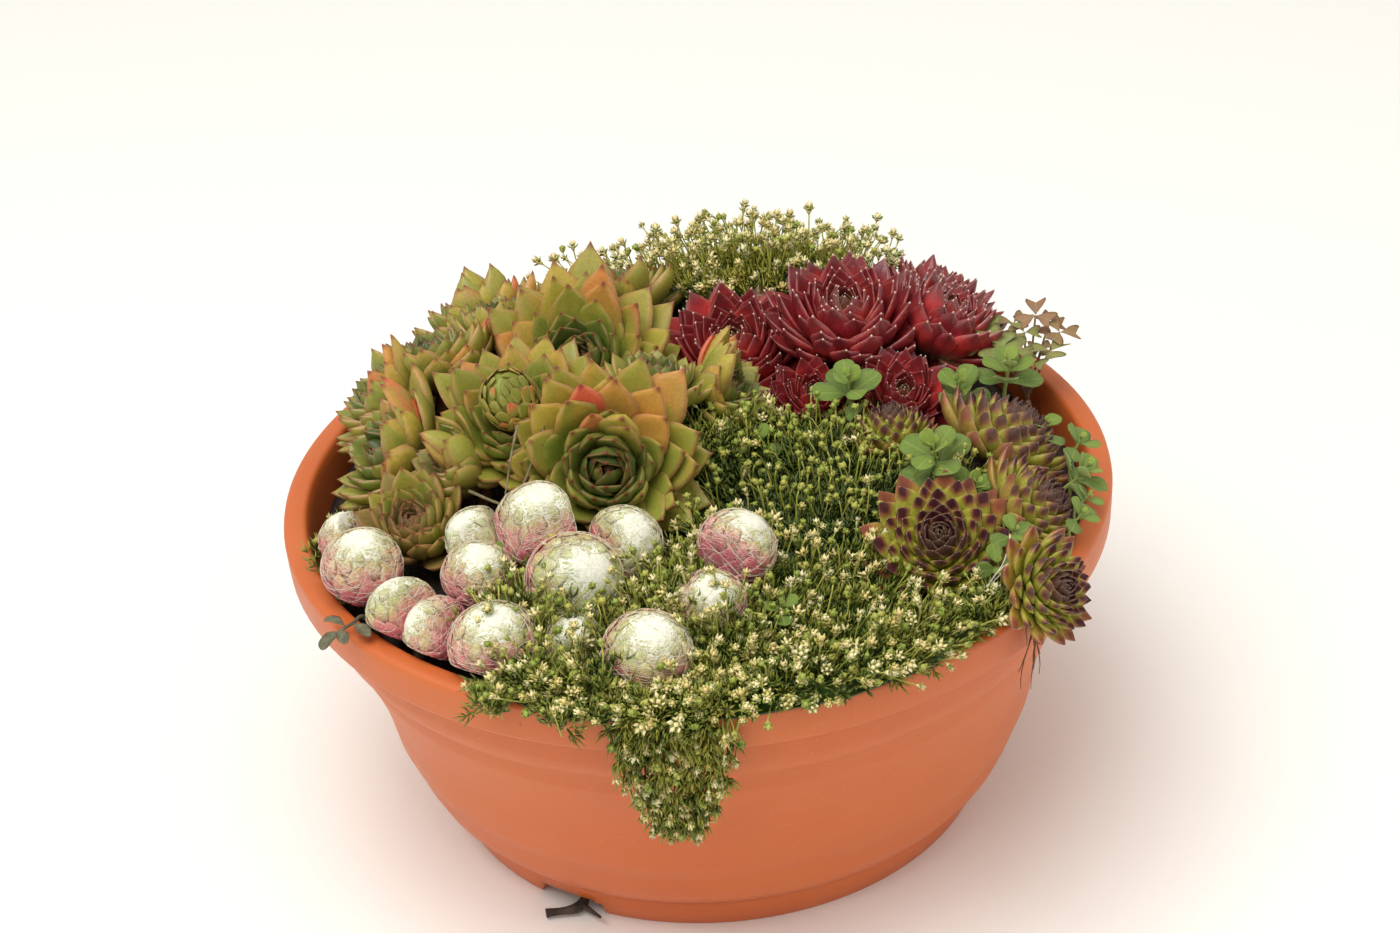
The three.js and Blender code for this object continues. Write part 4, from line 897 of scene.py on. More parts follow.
def bowl_plastic():
    """Moulded plastic with a satin skin: faint clouds, pale dust specks, tiny dark dots and hair scratches."""
    look = Finish("bowl_plastic", Subsurface_Weight=0.04, Subsurface_Scale=0.002, Coat_Roughness=0.35)
    clouds = look.mottles(patch=14.0, grain=1500.0, speck=330.0, share=0.075)
    dots = look.mottles(patch=45.0, grain=240.0, speck=170.0, share=0.035)
    look.colour = look.mix(clouds["Patches"], paint("c8622a"), paint("cc6a32"))
    look.coat(look.times(dots["Patches"], 0.2), "c05f2c")
    look.coat(look.times(clouds["Specks"], 0.5), "e6b08c")
    look.coat(look.times(dots["Specks"], 0.7), "6a3a26")
    stretched = look.add("Mapping", {"Vector": look.position(), "Scale": (9, 9, 900)}).outputs[0]
    scratches = look.step(look.noise(3.0, 2.0, stretched), 0.66, 0.74)
    look.coat(look.times(scratches, 0.16), "e09a70")
    rough = look.plus(look.step(clouds["Patches"], 0, 1, 0.36, 0.46), look.times(dots["Grain"], 0.08))
    return look.done(rough, look.plus(clouds["Grain"], look.times(clouds["Specks"], 2.0)), 0.0002, 0.35)


# ---- The bowl and what fills it -------------------------------------------------------------------------

# Radius and height, up the outside from the middle of the bottom, over the rim and down the inside.
BOWL_PROFILE = np.array((
    (0, FLOOR_Z), (60, FLOOR_Z), (97.9, FLOOR_Z), (97.9, 6.9), (97.9, 0), (98.2, 0), (100.4, 0), (100.9, 0.7),
    (103.2, 6), (104.9, 11.6), (104.9, 12.6), (104.1, 13.2), (104.2, 14), (105.8, 14.8), (108.5, 16), (112.5, 21),
    (115.2, 27), (116.4, 32.4), (117.2, 34.4), (118.6, 36.2), (120.8, 42), (122.8, 53), (125, 62.4), (126.6, 67),
    (129.8, 76), (131.8, 80.4), (132.7, 83), (132.9, 87.4), (133.8, 89.4), (137.2, 92.2), (139.6, 96),
    (140.6, 100), (141, 107), (141.3, 110.4), (142.1, 111.8), (144.6, 112.3), (148, 112.4), (149.1, 112.8),
    (149.5, 113.8), (149.8, 119), (150, 124.6), (149.7, 126.1), (148.7, 126.9), (146.5, 127), (143.4, 127),
    (142.1, 126.6), (141.4, 125.4), (140.7, 121.5), (139.6, 112), (138.4, 101.4), (131, 82), (121.4, 59),
    (114, 32), (109, 19), (101.6, 11.6), (99, FLOOR_Z + WALL), (60, FLOOR_Z + WALL), (0, FLOOR_Z + WALL)))


def lathe(profile, azimuths):
    """Points and faces of a profile that starts and ends on the axis, turned round it."""
    r, z = profile[1:-1, 0], profile[1:-1, 1]
    count, last = len(azimuths), len(r) * len(azimuths)
    rings = around(r[:, None], np.radians(azimuths), z[:, None])
    ends = np.array(((0, 0, profile[0, 1]), (0, 0, profile[-1, 1])))
    i = np.arange(count)
    first = np.stack([np.full(count, last), i, (i + 1) % count], 1)
    final = np.stack([np.full(count, last + 1), last - count + (i + 1) % count, last - count + i], 1)
    points = np.vstack([rings.reshape(-1, 3), ends])
    faces = [sheet_faces(len(r), count, True), first[:, ::-1], final[:, ::-1]]
    return points, facing_out(points, faces)


def bowl():
    """The moulding, its foot ring cut away at the notches and its bottom drilled beside them."""
    edges = [notch + turn for notch in NOTCHES for turn in (-8.2, -7.9, -6.2, -5.9, 5.9, 6.2, 7.9, 8.2)]
    azimuths = np.unique(np.concatenate([np.arange(-180, 180, 2.5), edges]))
    points, faces = lathe(BOWL_PROFILE, azimuths)
    away = np.min([np.abs((np.degrees(np.arctan2(points[:, 1], points[:, 0])) - notch + 180) % 360 - 180)
                   for notch in NOTCHES], axis=0)
    high = np.interp(away, (6.0, 8.1), (NOTCH_H, 0))
    foot_inside = 97
    on_foot = (np.hypot(points[:, 0], points[:, 1]) > foot_inside) & (points[:, 2] < high)
    points[on_foot, 2] = high[on_foot]
    heap = Heap()
    heap.add(points, faces)
    made = heap.piece("bowl_moulding", bowl_plastic(), "bowl", slot="bowl")
    drill = Heap()
    for notch in NOTCHES:
        line = np.linspace(polar(DRAIN_R, notch, -5), polar(DRAIN_R, notch, 20), 3)
        drill.add(*tubes(line[None], DRAIN_HOLE_R, 24))
    cutter = drill.piece("drill", made.data.materials[0])
    cut = made.modifiers.new("drain_holes", "BOOLEAN")
    cut.operation, cut.object, cut.solver = "DIFFERENCE", cutter, "EXACT"
    done = bpy.data.meshes.new_from_object(made.evaluated_get(bpy.context.evaluated_depsgraph_get()))
    made.modifiers.clear()
    made.data = done
    bpy.data.objects.remove(cutter)


def lumps(places, sizes, rng):
    """Rough crumbs of peat: each is a block with a raised middle to each side and a shape of its own."""
    corners = np.array([(x, y, z) for x in (-1, 1) for y in (-1, 1) for z in (-1, 1)], float) * 0.62
    tips = np.array(((1, 0, 0), (-1, 0, 0), (0, 1, 0), (0, -1, 0), (0, 0, 1), (0, 0, -1)), float)
    template = np.vstack([corners, tips])
    rings = {8: (4, 6, 7, 5), 9: (0, 1, 3, 2), 10: (2, 3, 7, 6), 11: (0, 4, 5, 1), 12: (1, 5, 7, 3), 13: (0, 2, 6, 4)}
    faces = np.array([(tip, ring[k], ring[(k + 1) % 4]) for tip, ring in rings.items() for k in range(4)])
    faces = facing_out(template, [faces])[0]
    rough = rng.uniform(0.6, 1.2, (len(places), len(template), 1))
    shapes = template[None] * rough * rng.uniform(0.7, 1.2, (len(places), 1, 3))
    points = shapes * sizes[:, None, None] + places[:, None, :]
    return points.reshape(-1, 3), repeated([faces], len(places), len(template))


def soil_roughness(x, y):
    """Clods and crumbs as a height."""
    return (0.9 * np.sin(x * 0.61 + 1.3 * np.sin(y * 0.23)) * np.sin(y * 0.53 + 1.1 * np.sin(x * 0.31))
            + 0.5 * np.sin(x * 1.7 + 2.0 * np.sin(y * 0.9)) * np.sin(y * 1.9 + x * 0.7))


def wall_radius(z):
    """The bowl's inside at a height, less a little room."""
    return np.interp(z, (10.6, 32, 59, 101.4, 112, 121.5, 127), (101, 114, 121.4, 138.4, 139.6, 140.7, 141.4)) - 0.4


SOIL_FLOOR_R, SOIL_FLOOR_Z = 100.2, 11.2


def soil():
    """The peat, heaped and rough on top and cast to the bowl's inside, with loose crumbs over it."""
    rng = np.random.default_rng(SEEDS["soil"])
    rows, columns = 50, 120
    turn = round_turn(columns)
    reach = wall_radius(soil_height(138 * np.cos(turn), 138 * np.sin(turn)))
    share = np.linspace(0, 1, rows + 1)[1:, None]
    x, y = share * reach * np.cos(turn), share * reach * np.sin(turn)
    z = soil_height(x, y) + soil_roughness(x, y) * np.clip((1 - share) * 14, 0, 1)
    top = np.stack([x, y, z], -1)
    depths = np.array((0.75, 0.45, 0.15))[:, None]
    down = 12 + (z[-1] - 12) * depths
    outer = wall_radius(down)
    grid = np.concatenate([top, around(outer, turn, down), around(SOIL_FLOOR_R, turn, SOIL_FLOOR_Z)[None]])
    count = len(grid)
    points = np.vstack([grid.reshape(-1, 3), (0, 0, soil_height(0.0, 0.0)), (0, 0, SOIL_FLOOR_Z)])
    i = np.arange(columns)
    hub = np.stack([np.full(columns, count * columns), i, (i + 1) % columns], 1)
    floor = np.stack([np.full(columns, count * columns + 1), (count - 1) * columns + (i + 1) % columns,
                      (count - 1) * columns + i], 1)
    heap = Heap()
    heap.add(points, facing_out(points, [sheet_faces(count, columns, True), hub[:, ::-1], floor[:, ::-1]]))
    heap.piece("soil_peat", peat(), "soil", slot="soil")
    crumbs, count, reach, largest = Heap(), 460, 137, 2.4
    r, turn = reach * np.sqrt(rng.random(count)), rng.uniform(0, 2 * np.pi, count)
    x, y = r * np.cos(turn), r * np.sin(turn)
    places = np.column_stack([x, y, soil_height(x, y) + soil_roughness(x, y)])
    crumbs.add(*lumps(places, rng.uniform(0.5, 1.0, count) ** 2 * largest, rng))
    crumbs.piece("soil_crumbs", dry_stuff("peat_crumb", "1e1610", "4a3828", 0.9), slot="soil")


# ---- Pearlwort ----------------------------------------------------------------------------------------

# Each mat: its middle, its height over the soil, how many shoots and heads, the share of heads that are open,
# the shortest and longest stalk, how yellow its shoots get, the size of its heads, and its outline.
MATS = {
    "pearlwort_middle": dict(
        middle=(48, -34), thick=7, shoots=400, heads=310, open=0.08, stalk=(7, 20), ripe=0.1, size=1.0,
        outline=((-3, -34), (6, -8), (26, 2), (50, -3), (66, -20), (100, -36), (102, -50), (54, -59), (0, -61))),
    "pearlwort_front": dict(
        middle=(14, -108), thick=7, shoots=720, heads=760, open=0.66, stalk=(4, 15), ripe=1.2, size=1.08,
        outline=((-60, -66), (-6, -65), (53, -63), (103, -54), (110, -86), (92, -112), (72, -133), (42, -147),
                 (8, -153), (-30, -150), (-58, -140), (-76, -122), (-64, -96))),
    "pearlwort_back": dict(
        middle=(34, 106), thick=18, shoots=300, heads=430, open=0.85, stalk=(6, 24), ripe=4.0, size=1.15,
        outline=((-44, 118), (-14, 110), (8, 84), (38, 80), (72, 84), (78, 104), (72, 132), (48, 143), (18, 151),
                 (-10, 148), (-44, 136))),
}
# The curtain over the rim: its azimuth, half its width from top to bottom, and how far it hangs down.
SPILL = dict(centre=-95.3, half=(15, 12, 8.6, 6.6, 5, 2.6), drop=42.0)
HEAD_ROOM = ((-158, -160, 0), (158, 155, 182))  # the corners of the room that flower heads keep to


def mat_top(thick, x, y):
    """A mat's height: tussocks over the soil, level with the rim where it comes to it."""
    level_from, level_over = 116, 22
    towards_rim = np.clip((np.hypot(x, y) - level_from) / level_over, 0, 1)
    tussocks = 1.6 * np.sin(0.23 * x + 1.4 * np.sin(0.19 * y)) * np.sin(0.21 * y + 0.9)
    tussocks = tussocks + 0.8 * np.sin(0.6 * x) * np.sin(0.57 * y)
    return (soil_height(x, y) + thick + tussocks) * (1 - towards_rim) + (BOWL_H + 0.4 * thick) * towards_rim


def on_mat(plan, share, turn):
    """Places in a mat by their share of the way out from its middle and their turn, counted in corners."""
    outline = np.array(plan["outline"], float)
    corner = np.floor(turn).astype(int)
    a, b = outline[corner % len(outline)], outline[(corner + 1) % len(outline)]
    edge = a + (b - a) * (turn - corner)[..., None]
    middle = np.array(plan["middle"], float)
    return middle + (edge - middle) * share[..., None]


def clear_of_plants(points, margin):
    """Which points lie outside the room of every rosette and ball."""
    clear = np.ones(len(points), bool)
    for plant in plants:
        r = plant.r
        if plant.kind == "cobweb":
            clear &= np.linalg.norm(points - plant.heart, axis=1) > r * 0.97 + margin
            continue
        if plant.kind == "oregano":
            continue
        local = plant.local(points)
        high, out = local[:, 2], np.hypot(local[:, 0], local[:, 1])
        reach = np.minimum(0.9 * r, 0.3 * r + np.maximum(high + 0.14 * r, 0) * 1.6) + margin
        inside = (high > -0.1 * r) & (high < 0.8 * r) & (out < reach)
        for normal, limit, _ in plant.planes:
            inside &= points @ normal < limit + margin
        clear &= ~inside
    return clear


def cushion(plan, heap):
    """The dense body of a mat under its needles, closed below."""
    rows, columns = 16, 88
    share = np.linspace(0.02, 1, rows)[:, None]
    turn = np.linspace(0, len(plan["outline"]), columns, endpoint=False)[None]
    place = on_mat(plan, np.broadcast_to(share, (rows, columns)), np.broadcast_to(turn, (rows, columns)))
    x, y = place[..., 0], place[..., 1]
    from_axis = np.hypot(x, y)
    ground = np.where(from_axis > 138, BOWL_H + 0.3, soil_height(x, y))
    bumps = 1.3 * np.sin(0.5 * x + np.sin(0.31 * y)) * np.sin(0.47 * y + 0.8) - 1.8
    at_edge, on_rim, sunk = share > 0.97, from_axis > 137, 4
    high = np.where(at_edge, ground + 0.5, np.maximum(mat_top(plan["thick"], x, y) + bumps, ground + 0.8))
    low = np.where(on_rim, ground, ground - sunk)
    points = np.vstack([np.stack([x, y, z], -1).reshape(-1, 3) for z in (high, low)])
    sides = double_sheet(rows, columns, edge_in=True)  # which keeps the edge dark under the needles
    # Its along of 0.05 gives the cushion the ramp's near-black green: painted shade under the needles.
    heap.add(points, facing_out(points - points.mean(0), sides), (0.05, 0, 1), (0, 0, 0))


def tangents(normals):
    """Two directions across each normal; side, rise and the normal turn the same way as x, y and z."""
    side = normalised(np.cross(normals, not_along(normals)))
    return side, np.cross(normals, side)


SPINDLE = 5  # points in a spindle


def spindles(starts, middles, tips, radii):
    """Slender closed leaves, each from a point through three corners to a point."""
    side, rise = tangents(normalised(tips - starts))
    turn = round_turn(3)
    ring = side[:, None, :] * np.cos(turn)[:, None] + rise[:, None, :] * np.sin(turn)[:, None]
    ring = middles[:, None, :] + ring * np.broadcast_to(radii, len(starts))[:, None, None]
    points = np.concatenate([starts[:, None], ring, tips[:, None]], 1)
    sides = np.array(((0, 2, 1), (0, 3, 2), (0, 1, 3), (4, 1, 2), (4, 2, 3), (4, 3, 1)))
    one = facing_out(points[0] - points[0].mean(0), [sides])
    return points.reshape(-1, 3), repeated(one, len(starts), SPINDLE)


# Whorls up a shoot: the share of its height, the leaves in each and how far they spread.
WHORLS = ((0.3, 3, 1.4), (0.7, 4, 1.2), (1.0, 5, 0.8))
TALL_WHORLS = ((0.35, 3, 1.3), (0.68, 4, 1.3), (1.0, 5, 0.8))


def shoots(heap, bases, normals, rng, whorls=WHORLS, blade=4.4, height=(2.5, 8.0), ripe=1.0):
    """Leafy shoots: each leans its own way and carries whorls of fine curved leaves."""
    shoot_count = len(bases)
    lean = normalised(normals + rng.normal(0, 0.42, normals.shape))
    tall = rng.uniform(*height, shoot_count)[:, None]
    bent = normalised(lean + 0.5 * normals)
    tops = bases + (lean + bent) * tall / 2
    chance = rng.random(shoot_count) * ripe
    points, faces = spindles(bases - normals, bases + lean * tall * 0.5, tops + bent, 0.45)
    heap.add(points, faces, (0.3, 0, 1), (0, 0, np.repeat(chance, SPINDLE)))
    side, rise = tangents(bent)
    for share, leaves, spread in whorls:
        count = shoot_count * leaves
        turn = np.tile(round_turn(leaves), shoot_count) + np.repeat(rng.uniform(0, 7, shoot_count), leaves)
        turn = (turn + rng.normal(0, 0.3, count))[:, None]
        up = np.repeat(bent, leaves, 0)
        outward = np.repeat(side, leaves, 0) * np.cos(turn) + np.repeat(rise, leaves, 0) * np.sin(turn)
        start = np.repeat(bases + (tops - bases) * share, leaves, 0)
        direction = normalised(up + outward * spread * rng.uniform(0.6, 1.5, (count, 1)))
        length = (blade * rng.uniform(0.6, 1.25, count))[:, None]
        middle = start + direction * length * 0.55 + (outward - up * 0.4) * length * 0.07
        tip = start + direction * length + up * length * 0.22
        points, faces = spindles(start, middle, tip, 0.46 * rng.uniform(0.8, 1.2, count))
        # Lower whorls take a darker place on the ramp: painted shade deeper in the mat.
        along = np.tile((0.1, 0.55, 0.55, 0.55, 1.0), count) * (0.5 + 0.5 * share)
        heap.add(points, faces, (along, 0, 1), (0, 0, np.repeat(chance, leaves * SPINDLE)))


# The tissues that the pearlwort's finish tells apart by the trait of age. A needle is 0.
STALK, SEPAL, PETAL = 0.25, 0.5, 1.0
# Each form of head: its capsule's radius and half height, then rings of blades as
# tissue, reach, half width, turn and elevation in radians.
HEAD_FORMS = {
    "bud": ((1.15, 1.4), ((SEPAL, 2.1, 0.75, 0, 1.15),)),
    "cup": ((0.9, 1.8), ((SEPAL, 2.2, 0.75, 36, 0.7), (PETAL, 2.9, 0.62, 0, 1.3))),
    "star": ((0.8, 1.2), ((SEPAL, 2.0, 0.6, 36, 0.45), (PETAL, 2.9, 0.7, 0, 0.85))),
}


def flower_head(form):
    """One head: a capsule in its sepals, with five petals if it is open. Points, faces and tissues."""
    points, faces, tissue = [], [], []

    def part(corners, sides, kind):
        start = sum(len(p) for p in points)
        shaped = facing_out(corners - corners.mean(0), sides)
        points.append(corners)
        faces.extend(side + start for side in shaped)
        tissue.append(np.full(len(corners), kind))

    (wide, tall), rings = HEAD_FORMS[form]
    rows, columns = 4, 4
    angle = np.linspace(0.3, np.pi - 0.3, rows)[:, None]
    ball = around(wide * np.sin(angle), round_turn(columns)[None], 1.2 - tall * np.cos(angle))
    hub = fan(columns, True)
    part(ball.reshape(-1, 3), [sheet_faces(rows, columns, True), hub, hub[:, ::-1] + (rows - 1) * columns],
         SEPAL if form == "bud" else PETAL)
    blade = np.array(((0, 1, 3), (0, 3, 2), (1, 0, 4), (3, 1, 4), (2, 3, 4), (0, 2, 4)))
    for k in range(5):
        for kind, reach, width, shift, elevation in rings:
            out, side = polar(1, 72 * k + shift), polar(1, 72 * k + shift + 90)
            along = out * math.cos(elevation) + UP * math.sin(elevation)
            root = UP * (0.2 + 0.4 * kind) + out * 0.35
            mid = root + along * reach * 0.55 + out * 0.15
            normal = np.cross(along, side)
            part(np.array((root, mid - side * width, mid + side * width, root + along * reach, mid + normal * 0.24)),
                 [blade], kind)
    return np.concatenate(points), faces, np.concatenate(tissue)


HEADS = {form: flower_head(form) for form in HEAD_FORMS}


def heads(heap, bases, directions, rng, share_open, stalk=(7, 14), size=1.0):
    """Flower heads and nodding buds on thin curved stalks."""
    count = len(bases)
    height = rng.uniform(*stalk, count)[:, None]
    drawn = rng.random(count)
    form = np.where(drawn < 0.82 * share_open, "cup", np.where(drawn < share_open, "star", "bud"))
    limp = np.where(form == "bud", 0.8, 0.35)[:, None]
    lean = normalised(directions + rng.normal(0, 0.22, (count, 3)))
    nod = normalised(lean + rng.normal(0, 1, (count, 3)) * limp)
    knee = np.clip(bases + lean * height * 0.85, *HEAD_ROOM)
    tops = np.clip(knee + nod * height * 0.2, *HEAD_ROOM)
    t = np.array((0, 0.4, 0.75, 1.0))[:, None]
    lines = ((1 - t) ** 2 * (bases - lean * 2)[:, None] + 2 * t * (1 - t) * knee[:, None] + t ** 2 * tops[:, None])
    points, faces = tubes(lines, np.array((0.34, 0.3, 0.3, 0.32)))
    heap.add(points, faces, (0.5, 0, 1), (STALK, 0, np.repeat(rng.random(count), len(points) // count)))
    side, rise = tangents(nod)
    spin = rng.uniform(0, 2 * np.pi, count)[:, None]
    a, b = side * np.cos(spin) + rise * np.sin(spin), rise * np.cos(spin) - side * np.sin(spin)
    frames = np.stack([a, b, np.cross(a, b)], 1)
    size = size * rng.uniform(0.8, 1.2, count)
    for kind, (template, faces, tissue) in HEADS.items():
        picked = np.flatnonzero(form == kind)
        points = np.einsum("pk,nkj->npj", template, frames[picked]) * size[picked, None, None] + tops[picked, None, :]
        chance = np.repeat(rng.random(len(picked)), len(template))
        heap.add(points.reshape(-1, 3), repeated(faces, len(picked), len(template)), (0.6, 0, 1),
                 (np.tile(tissue, len(picked)), 0, chance))


def scattered(plan, rng, count, spacing, margin, reach):
    """Places spread over a mat, no two nearer than a spacing, and none inside another plant."""
    kept = np.zeros((0, 3))
    for _ in range(40 * count):
        share, turn = np.array([reach * math.sqrt(rng.random())]), np.array([rng.uniform(0, len(plan["outline"]))])
        x, y = on_mat(plan, share, turn)[0]
        spot = np.array((x, y, mat_top(plan["thick"], x, y) - 1.0))
        if len(kept) and np.min(np.sum((kept - spot) ** 2, 1)) < spacing ** 2:
            continue
        kept = np.vstack([kept, spot])
        if len(kept) >= count:
            break
    return kept[clear_of_plants(kept, margin)]


def mat_normals(plan, places):
    """Up and away from the mat's middle, and outwards where it reaches over the rim."""
    away = places[:, :2] - np.array(plan["middle"], float)
    lean = np.column_stack([away / 90, np.ones(len(places))])
    out = places * (1, 1, 0) / 150
    over = np.clip((np.hypot(places[:, 0], places[:, 1]) - 136) / 14, 0, 1)[:, None]
    return normalised(lean + out * over * 1.2)


def spill_places(rng, count):
    """Places on the curtain that hangs over the rim, with the direction out of it."""
    path = np.array(((136, BOWL_H + 2.5), (142, BOWL_H + 3.4), (148, BOWL_H + 3.4), (152.2, BOWL_H + 0.5),
                     (152.6, BOWL_H - 0.25 * SPILL["drop"]), (152.2, BOWL_H - 0.6 * SPILL["drop"]),
                     (151.4, BOWL_H - SPILL["drop"])))
    share = rng.random(count) ** 0.85
    place = np.minimum(share * (len(path) - 1), len(path) - 1.001)
    k = place.astype(int)
    r, z = (path[k] + (path[k + 1] - path[k]) * (place - k)[:, None]).T
    half = np.interp(share, np.linspace(0, 1, len(SPILL["half"])), SPILL["half"])
    ragged = 1 + 0.2 * np.sin(9 * share + 1) + 0.12 * rng.normal(size=count)
    azimuth = np.radians(SPILL["centre"] + half * ragged * rng.uniform(-1, 1, count))
    over = np.clip((place - 2.4) / 1.2, 0, 1)
    normal = np.column_stack([np.cos(azimuth) * over, np.sin(azimuth) * over, (1 - over) - 1.1 * over])
    return around(r, azimuth, z), normalised(normal)


# Loose growth between the balls and rosettes: x, y, reach, number of shoots and their height.
TUFTS = ((-60, -97, 9, 80, 27), (-51, -110, 11, 110, 27), (-66, -82, 5, 18, 20), (-28, -111, 9, 70, 24),
         (-36, -132, 9, 70, 17), (-54, -129, 8, 50, 13), (-71, -137, 6, 20, 6), (-15, -105, 9, 70, 25),
         (0, -118, 9, 60, 22), (6, -115, 8, 50, 25), (-8, -91, 6, 30, 22), (12, -100, 7, 36, 18),
         (-48, -147, 7, 24, 6), (-34, -146, 7, 24, 7), (-127, -22, 7, 24, 12), (-128, -50, 6, 14, 10),
         (20, 6, 8, 34, 16), (3, -9, 9, 40, 14), (12, -4, 9, 40, 14), (0, 22, 8, 28, 16), (-2, 34, 8, 24, 16),
         (38, -2, 9, 34, 12), (62, 4, 8, 28, 12), (-18, -2, 7, 22, 14), (94, -108, 9, 34, 10))


def grow_pearlwort():
    """The three mats, the curtain over the rim and the loose tufts."""
    finish = pearlwort()
    for order, (name, plan) in enumerate(MATS.items()):
        rng, heap = np.random.default_rng(SEEDS["mats"] + order), Heap()
        cushion(plan, heap)
        bases = scattered(plan, rng, plan["shoots"], 2.6, 0.4, 1.0)
        shoots(heap, bases, mat_normals(plan, bases), rng, ripe=plan["ripe"])
        tops = scattered(plan, rng, plan["heads"], 2.2, 1.0, 0.99)
        heads(heap, tops, mat_normals(plan, tops), rng, plan["open"], plan["stalk"], plan["size"])
        heap.piece(name + "_growth", finish, name, slot="pearlwort")
    rng, heap = np.random.default_rng(SEEDS["loose growth"]), Heap()
    shoots(heap, *spill_places(rng, 290), rng, WHORLS[1:], height=(1.0, 3.5), ripe=1.6)
    heads(heap, *spill_places(rng, 190), rng, 0.6, (1.5, 6.0))
    spill_stems(heap, rng)
    heap.piece("pearlwort_spill_growth", finish, slot="pearlwort")
    heap = Heap()
    for x, y, reach, count, tall in TUFTS:
        turn, out = rng.uniform(0, 2 * np.pi, count), reach * np.sqrt(rng.random(count))
        places = np.column_stack([x + out * np.cos(turn), y + out * np.sin(turn), np.zeros(count)])
        on_rim = np.hypot(places[:, 0], places[:, 1]) > 139
        places[:, 2] = np.where(on_rim, BOWL_H, soil_height(places[:, 0], places[:, 1])) + 1
        places = places[clear_of_plants(places, 0.3)]
        normals = normalised(np.column_stack([(places[:, :2] - (x, y)) / 30, np.ones(len(places))]))
        shoots(heap, places, normals, rng, TALL_WHORLS, 4.6, (0.5 * tall, tall))
        heads(heap, places[::2], normals[::2], rng, 0.4, (0.7 * tall, 1.3 * tall))
    heap.piece("pearlwort_tufts", finish, slot="pearlwort")


def spill_stems(heap, rng):
    """The trailing stems that carry the curtain."""
    lines, stations = [], 9
    share, bends = np.linspace(0, 1, stations), (0, 0.25, 0.4, 1)
    for azimuth in np.linspace(-10, 10, 15):
        drop = SPILL["drop"] * rng.uniform(0.75, 1.0)
        r = np.interp(share, bends, (139, 149, 151.8, 151.2)) + rng.normal(0, 0.3, stations)
        z = np.interp(share, bends, (BOWL_H + 1.6, BOWL_H + 1.6, BOWL_H - 3, BOWL_H - drop))
        turn = np.radians(SPILL["centre"] + azimuth * (1 - 0.55 * share) + rng.normal(0, 0.25, stations))
        lines.append(around(r, turn, z))
    heap.add(*tubes(np.array(lines), 0.5, 4), (0.3, 0, 1), (STALK, 0, 0.3))


# ---- The rosettes and seedlings -------------------------------------------------------------------------

def stem(plant, heap, share=0.14, sun=0.0):
    """The thick short stem under a rosette, down into the soil."""
    top = plant.foot + plant.axis * 0.1 * plant.r
    ground = soil_height(*top[:2])
    middle = (plant.foot - plant.axis * 0.2 * plant.r + np.array((*top[:2], plant.foot[2]))) / 2
    bottom = np.array((*middle[:2], min(ground, plant.foot[2] - 3) - 5))
    line = curve_through((bottom, middle, top), 7)
    heap.add(*tubes(line[None], share * plant.r * np.linspace(0.9, 1.1, 7), 8), (0.1, 0, 0), (0.95, sun, 0.3))


def grow_rosettes():
    """The green, red and purple rosettes, one of them with a closed bud over it."""
    finishes = {"green": green_leaf(), "red": red_leaf(), "purple": purple_leaf()}
    for plant in plants:
        if plant.kind not in HABITS:
            continue
        rng = draws(plant.name)
        heap = Heap()
        budding = plant.name == "green_budding"
        rosette(plant, heap, rng, 0.36 if budding else 0.0)
        if plant.name != OVERHANGING:
            stem(plant, heap)
        if budding:
            centre, tall = plant.foot + plant.axis * 0.9 * plant.r, 1.35
            scale_ball(plant, heap, rng, centre, 0.31 * plant.r, 66, tall, 138, 0.14)
            ball_core(plant, heap, centre, 0.29 * plant.r, tall, 0.7, 0.3)
        heap.piece(plant.name + "_leaves", finishes[plant.kind], plant.name, slot=plant.kind + "_leaves")


# How far up the pink of a ball reaches, from 0 to 1, where it isn't the usual share.
BLUSH = {"cobweb_m": 0.0, "cobweb_j": 0.25, "cobweb_f": 0.35, "cobweb_g": 0.4, "cobweb_a": 0.5, "cobweb_c": 0.3}


def grow_cobwebs():
    """Each cobweb ball of scales with its threads and its felt."""
    leaf, thread, matted = cobweb_leaf(), web_thread(), web_felt()
    for plant in plants:
        if plant.kind != "cobweb":
            continue
        rng = draws(plant.name)
        heap, spun_round, cap = Heap(), Heap(), Heap()
        tone, scales = BLUSH.get(plant.name, 0.75), round(40 + 2.2 * plant.r)
        tips = scale_ball(plant, heap, rng, plant.heart, plant.r * 0.995, scales, BALL_TALL, 128, 0.09, tone)
        ball_core(plant, heap, plant.heart, plant.r, BALL_TALL, tone, 0.5)
        stem(plant, heap, 0.18, 1.0)
        heap.piece(plant.name + "_leaves", leaf, plant.name, slot="cobweb_leaves")
        web(plant, spun_round, tips, rng, round(70 + 6.6 * plant.r))
        spun_round.piece(plant.name + "_web", thread, slot="cobweb_leaves")
        felt(plant, cap, rng)
        cap.piece(plant.name + "_felt", matted, slot="cobweb_leaves")


# Small seedlings over the solids, listed as the plants are.
SMALL_SEEDLINGS = (("oregano_low", 95, -54, 144, 10, -60, 24), ("oregano_wall", 136, -30, 147, 9, -20, 26),
                   ("oregano_mat", 25, -107, 139, 7.5, -80, 16), ("oregano_mid", 23, -9, 145, 8, -110, 20),
                   ("oregano_ball", -69, -68, 142, 6, -100, 30), ("oregano_straw", 105, -84, 146, 8, -60, 20),
                   ("oregano_rim_low", 130, -72, 143, 8, -20, 34), ("oregano_rim_mid", 134, -60, 142, 7.5, -10, 40),
                   ("oregano_behind", 126, -14, 145, 9, 0, 20), ("oregano_under_red", 100, 14, 146, 9, -80, 24))


